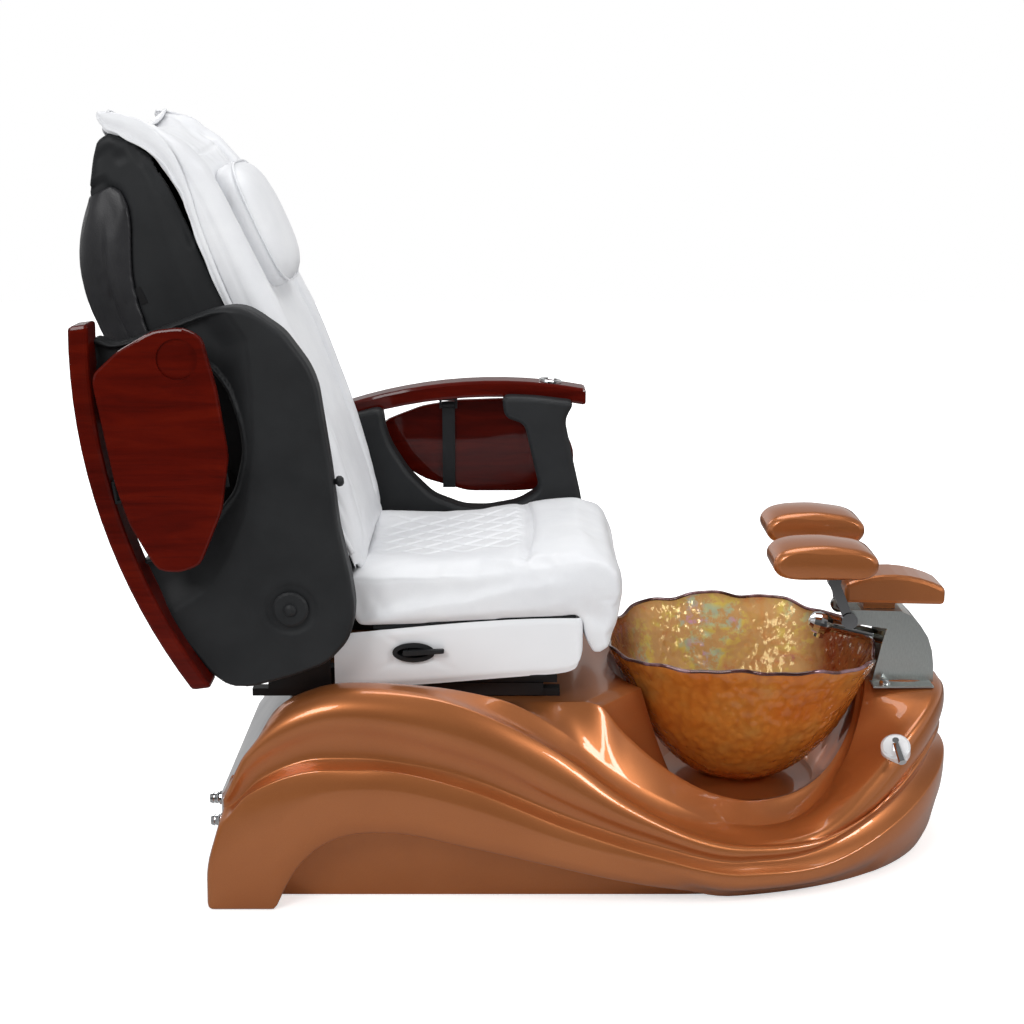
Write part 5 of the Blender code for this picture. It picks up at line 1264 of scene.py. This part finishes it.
# ---------------------------------------------------------------- armrest shells
ARM_EDGE = [(-0.134, 0.090), (-0.123, 0.012), (-0.108, -0.047), (-0.074, -0.088), (-0.046, -0.102),
            (-0.012, -0.110), (0.040, -0.110), (0.130, -0.103), (0.240, -0.106), (0.379, -0.105),
            (0.414, -0.096), (0.476, -0.063), (0.519, -0.016), (0.529, 0.008), (0.528, 0.050),
            (0.510, 0.130), (0.491, 0.222)]
ARM_WINDOW = [(0.368, 0.225), (0.408, 0.214), (0.440, 0.075), (0.395, 0.048), (0.330, 0.036),
              (0.282, 0.038), (0.220, 0.062), (0.170, 0.112), (0.135, 0.168), (0.122, 0.205)]
PLANK_UNDER = [(-0.112, 0.152), (-0.030, 0.193), (0.040, 0.2195), (0.118, 0.2407), (0.250, 0.2575),
               (0.362, 0.2605), (0.440, 0.2574), (0.512, 0.2490)]
ARM_RIDGE = [(0.545, 0.040), (0.536, 0.028), (0.472, -0.004), (0.380, 0.002), (0.295, 0.015),
             (0.177, 0.050), (0.100, 0.095), (0.048, 0.144), (0.020, 0.200)]
ARM_IN, ARM_OUT = 0.268, 0.328


def fillet(outline, size):
    """Cut every corner of an outline with a short smooth curve."""
    spots = []
    count = len(outline)
    for k, corner in enumerate(outline):
        here = Vector(corner)
        a, b = (here + way.normalized() * min(size, way.length * 0.45)
                for way in (Vector(outline[k - 1]) - here, Vector(outline[(k + 1) % count]) - here))
        spots += [tuple(a * (1 - t) ** 2 + here * 2 * t * (1 - t) + b * t * t)
                  for t in (0.0, 0.25, 0.5, 0.75, 1.0)]
    return spots


def lathe(name, profile):
    """A (radius, height) profile turned about Z."""
    return capped(name, [[Vector((max(r, 1e-5) * math.cos(angle), max(r, 1e-5) * math.sin(angle), h))
                          for angle in ring_of(32)] for r, h in profile], False)


def armrest_shell(sign, side, fold):
    under = [(x, smooth_value(PLANK_UNDER, x) + 0.010) for x in (0.512, 0.475, 0.440, 0.400, 0.362)]
    over = [(x, smooth_value(PLANK_UNDER, x) + 0.006)
            for x in (0.118, 0.080, 0.040, 0.0, -0.030, -0.070, -0.098)]
    outline = fillet(ARM_EDGE + under + ARM_WINDOW + over + [(-0.128, 0.130)], 0.016)
    shell = prism(f"armrest_moulding_{side}", outline, sign * ARM_IN, sign * ARM_OUT)
    bevel(shell, 0.012, 1, 50.0)
    remesh(shell, 0.0040)
    relax(shell, 0.5, 1)

    def shape(spot, normal):
        face = ease(0.80, 0.97, normal.y * sign)
        if face <= 0:
            return spot
        gap, way = line_distance(spot.x, spot.z, ARM_RIDGE)
        if way < 0:
            inset = 0.0150 * ease(0.0, 0.055, gap) + 0.0018 * ease(0.0, 0.004, gap)
        else:
            inset = 0.0022 * ease(0.0, 0.09, gap)
        ring = math.hypot(spot.x, spot.z)
        dish = 0.0035 * ease(0.049, 0.041, ring)
        spot.y -= sign * (inset * ease(0.04, 0.075, ring) + dish) * face
        return spot

    reshape(shell, shape)
    bore = lathe("bore", [(0.0158, -0.05), (0.0158, 0.056)])
    move(bore, Matrix.Translation((0, sign * ARM_IN, 0))
         @ Matrix.Rotation(math.radians(-90 * sign), 4, "X"))
    cut(shell, bore)
    knob = lathe("knob", [(0.0, -0.004), (0.005, -0.004), (0.005, 0.005), (0.0085, 0.0075),
                          (0.0095, 0.011), (0.0085, 0.0155), (0.005, 0.0185), (0.0, 0.019)])
    move(knob, Matrix.Translation((0.207, sign * (ARM_IN + ARM_OUT) / 2, -0.1035))
         @ Matrix.Rotation(math.pi, 4, "X"))
    join(shell, knob)
    shell.data.shade_smooth()
    move(shell, lean_frame((-0.410, 0.535), -fold))
    finish(shell, f"armrest_{side}", "black", "black_plastic", f"armrest_shell_{side}")


armrest_shell(-1, "right", 97.5)
armrest_shell(1, "left", 0.0)


# ---------------------------------------------------------------- footrest pads
PAD_PROFILE = [(-0.130, 0.066), (-0.130, 0.048), (-0.118, 0.034), (-0.090, 0.0278), (0.034, 0.0278),
               (0.054, 0.034), (0.063, 0.050), (0.060, 0.070), (0.036, 0.086), (-0.030, 0.095),
               (-0.085, 0.093), (-0.115, 0.085)]
FOOT_PIVOT, FOOT_ARM_LENGTH = (0.614, 0.430), 0.090


def footrest_pad(sign, side, lean):
    """Moulded pad whose edges roll under, crowned along and across."""
    outline = fillet(PAD_PROFILE, 0.020)
    middle = Vector((-0.035, 0.060))
    rows = []
    inner, outer = 0.062, 0.176
    for k in range(25):
        t = k / 24
        y = inner + (outer - inner) * (0.5 - 0.5 * math.cos(math.pi * t))
        place = (y - inner) / (outer - inner)
        edge = 1 - abs(2 * place - 1)
        share = math.sin(math.pi / 2 * min(1.0, edge / 0.24)) ** 0.7 if edge < 0.24 else 1.0
        shrink = 0.013 * (1 - share)
        crown = 0.0045 * (math.sin(math.pi * place) - 1)
        row = []
        for x, z in outline:
            out = Vector((x, z)) - middle
            reach = out.length
            spot = middle + out * max(0.05, (reach - shrink) / reach)
            row.append(Vector((spot.x, sign * y, spot.y + crown * ease(0.06, 0.09, spot.y))))
        rows.append(row)
    pad = capped(f"footrest_moulding_{side}", rows)
    crisp(pad, 50.0)
    angle = math.radians(lean)
    move(pad, Matrix.Translation((FOOT_PIVOT[0] + FOOT_ARM_LENGTH * math.sin(angle), 0,
                                  FOOT_PIVOT[1] + FOOT_ARM_LENGTH * math.cos(angle))))
    finish(pad, f"footrest_tilt_{side}", "copper", "copper", f"footrest_pad_{side}")


footrest_pad(-1, "right", -23.0)
footrest_pad(1, "left", -9.0)


def seat_base_board():
    """Black board that the seat upholstery is stapled to; it shows as a dark line above the box."""
    board = prism("seat_base_board", [(-0.275, 0.470), (0.088, 0.4915), (0.088, 0.500), (-0.275, 0.480)],
                  -0.241, 0.241)
    bevel(board, 0.002, 2)
    finish(board, "seat", "black", "black_plastic")


seat_base_board()


# ---------------------------------------------------------------- carried-over nodes
def pair(*stems):
    """The right and the left node of each stem."""
    return [f"{stem}_{side}" for stem in stems for side in ("right", "left")]


# CAD nodes that are shown as they are, by their look
KEPT = {
    "grey": ["rear_panel"],
    "steel": ["base_frame", *pair("slide_rail", "slide_runner", "tray_hinge"), "seat_frame", "back_frame",
              "recline_actuator", "massage_carriage"],
    "white": ["drain_elbow"],
    "chrome": ["drain_strainer", "jet_cover", "mixer_lever", "hot_inlet", "cold_inlet",
               *pair("bracket_nut"), "recline_rod", "controller_ring", "spout"],
    # footrest arms and lugs: chrome with a painted dark reflection
    "chrome_painted_dark": pair("footrest_arm", "footrest_lug"),
    "satin": ["mixer_body"],
    "stainless": ["footrest_bracket"],
    "copper": ["footrest_centre_pad"],
    "black": ["jet_motor", "jet_impeller", "lever_cup", "slide_lever", *pair("pivot_cap", "tray_arm")],
    "rubber": ["massage_roller", *pair("levelling_foot_front", "levelling_foot_rear")],
    "wood_up": ["armrest_plank_right", "tray_right"],
    "wood_down": ["armrest_plank_left", "tray_left"],
}
for look_name, node_names in KEPT.items():
    for node_name in node_names:
        dress(nodes[node_name], look_name)


# ---------------------------------------------------------------- camera, light and floor
def area_lamp(name, spot, target, size, watts):
    lamp = bpy.data.lights.new(name, "AREA")
    lamp.shape = "RECTANGLE"
    lamp.size, lamp.size_y = size
    lamp.energy = watts
    item = bpy.data.objects.new(name, lamp)
    bpy.context.collection.objects.link(item)
    item.location = spot
    item.rotation_euler = (Vector(target) - Vector(spot)).to_track_quat("-Z", "Y").to_euler()


def camera():
    lens = bpy.data.cameras.new("camera")
    lens.lens, lens.sensor_width = 60.0, 36.0
    item = bpy.data.objects.new("camera", lens)
    bpy.context.collection.objects.link(item)
    item.location = (-0.027, -3.1602, 1.3877)
    item.rotation_euler = (math.radians(90 - 13.5), 0, 0)
    scene.camera = item


def operate(tree, operation, *sources):
    """The result of a Math node over sockets."""
    made = tree.nodes.new("ShaderNodeMath")
    made.operation = operation
    for source, target in zip(sources, made.inputs):
        tree.links.new(source, target)
    return made.outputs["Value"]


def graded(tree, source, **ends):
    """A socket carried from one range to another by a Map Range node."""
    made = tree.nodes.new("ShaderNodeMapRange")
    for key, number in ends.items():
        made.inputs[key.replace("_", " ").title()].default_value = number
    tree.links.new(source, made.inputs["Value"])
    return made.outputs["Result"]


def seen_rays(tree, *names):
    """1 for the named kinds of ray, else 0."""
    path = tree.nodes.new("ShaderNodeLightPath")
    total = path.outputs[names[0]]
    for name in names[1:]:
        total = operate(tree, "MAXIMUM", total, path.outputs[name])
    return total


def studio_world():
    """White to the camera; reflections see a darker ceiling, so that curved parts keep their contrast."""
    world = bpy.data.worlds.new("studio")
    scene.world = world
    world.use_nodes = True
    tree = world.node_tree
    back = tree.nodes["Background"]
    back.inputs["Color"].default_value = (1, 1, 1, 1)
    place = tree.nodes.new("ShaderNodeTexCoord")
    split = tree.nodes.new("ShaderNodeSeparateXYZ")
    tree.links.new(place.outputs["Generated"], split.inputs[0])
    sky = graded(tree, split.outputs["Z"], from_min=0.05, from_max=0.75, to_min=0.62, to_max=0.16)
    shade = graded(tree, split.outputs["Y"], from_min=-0.97, from_max=-0.45, to_min=0.10, to_max=1.0)
    diffuse = graded(tree, seen_rays(tree, "Is Diffuse Ray"), to_max=0.58)
    strength = operate(tree, "MAXIMUM", operate(tree, "MULTIPLY", sky, shade), diffuse)
    level = tree.nodes.new("ShaderNodeMix")
    tree.links.new(seen_rays(tree, "Is Camera Ray", "Is Transmission Ray"), level.inputs[0])
    tree.links.new(strength, level.inputs[2])
    level.inputs[3].default_value = 1.0
    tree.links.new(level.outputs[0], back.inputs["Strength"])


def studio_floor():
    """Pale floor that stays white far off, and is dark in reflections beyond the chair."""
    half, height = 9, -0.001
    floor = add("floor", [(-half, -half, height), (half, -half, height), (half, half, height),
                          (-half, half, height)], [(0, 1, 2, 3)])
    look = Look("floor_white", Roughness=0.9)
    pale = look.ramp(look.noise(3.0), [(0.3, (0.84, 0.84, 0.84)), (0.7, (0.86, 0.86, 0.86))])
    distance = look.node("ShaderNodeVectorMath", operation="LENGTH")
    look.wire(look.place, distance.inputs[0])
    reflected = look.mix(look.span(distance.outputs["Value"], 0.0, 1.0, 0.9, 2.6),
                         (0.40, 0.40, 0.40), (0.03, 0.03, 0.03))
    look.set("Base Color", look.mix(seen_rays(look.tree, "Is Glossy Ray"), pale, reflected))
    glow = look.node("ShaderNodeEmission")
    seen = seen_rays(look.tree, "Is Camera Ray", "Is Transmission Ray")
    lift = look.span(distance.outputs["Value"], 0.55, 1.0, 0.9, 2.0)
    look.wire(look.math("MULTIPLY", seen, lift), glow.inputs["Strength"])
    both = look.node("ShaderNodeAddShader")
    look.wire(look.shader.outputs[0], both.inputs[0])
    look.wire(glow.outputs[0], both.inputs[1])
    look.wire(both.outputs[0], look.tree.nodes["Material Output"].inputs["Surface"])
    floor.data.materials.append(look.material)


# name, place, what it faces, width and height, watts
LAMPS = [
    ("key", (-1.9, -3.2, 3.0), (-0.1, 0, 0.5), (1.6, 1.2), 60),
    ("window_0", (2.55, -2.0, 2.35), (0.2, 0, 0.4), (0.36, 0.75), 15),
    ("window_1", (3.01, -1.84, 2.35), (0.2, 0, 0.4), (0.36, 0.75), 15),
    ("overhead", (0.2, 0.5, 3.4), (0.0, 0, 0.4), (2.2, 1.4), 34),
    ("rear", (-2.4, 2.6, 2.4), (-0.2, 0, 0.6), (1.6, 1.6), 24),
]

camera()
scene.view_settings.view_transform = "Standard"
studio_world()
studio_floor()
for lamp_row in LAMPS:
    area_lamp(*lamp_row)
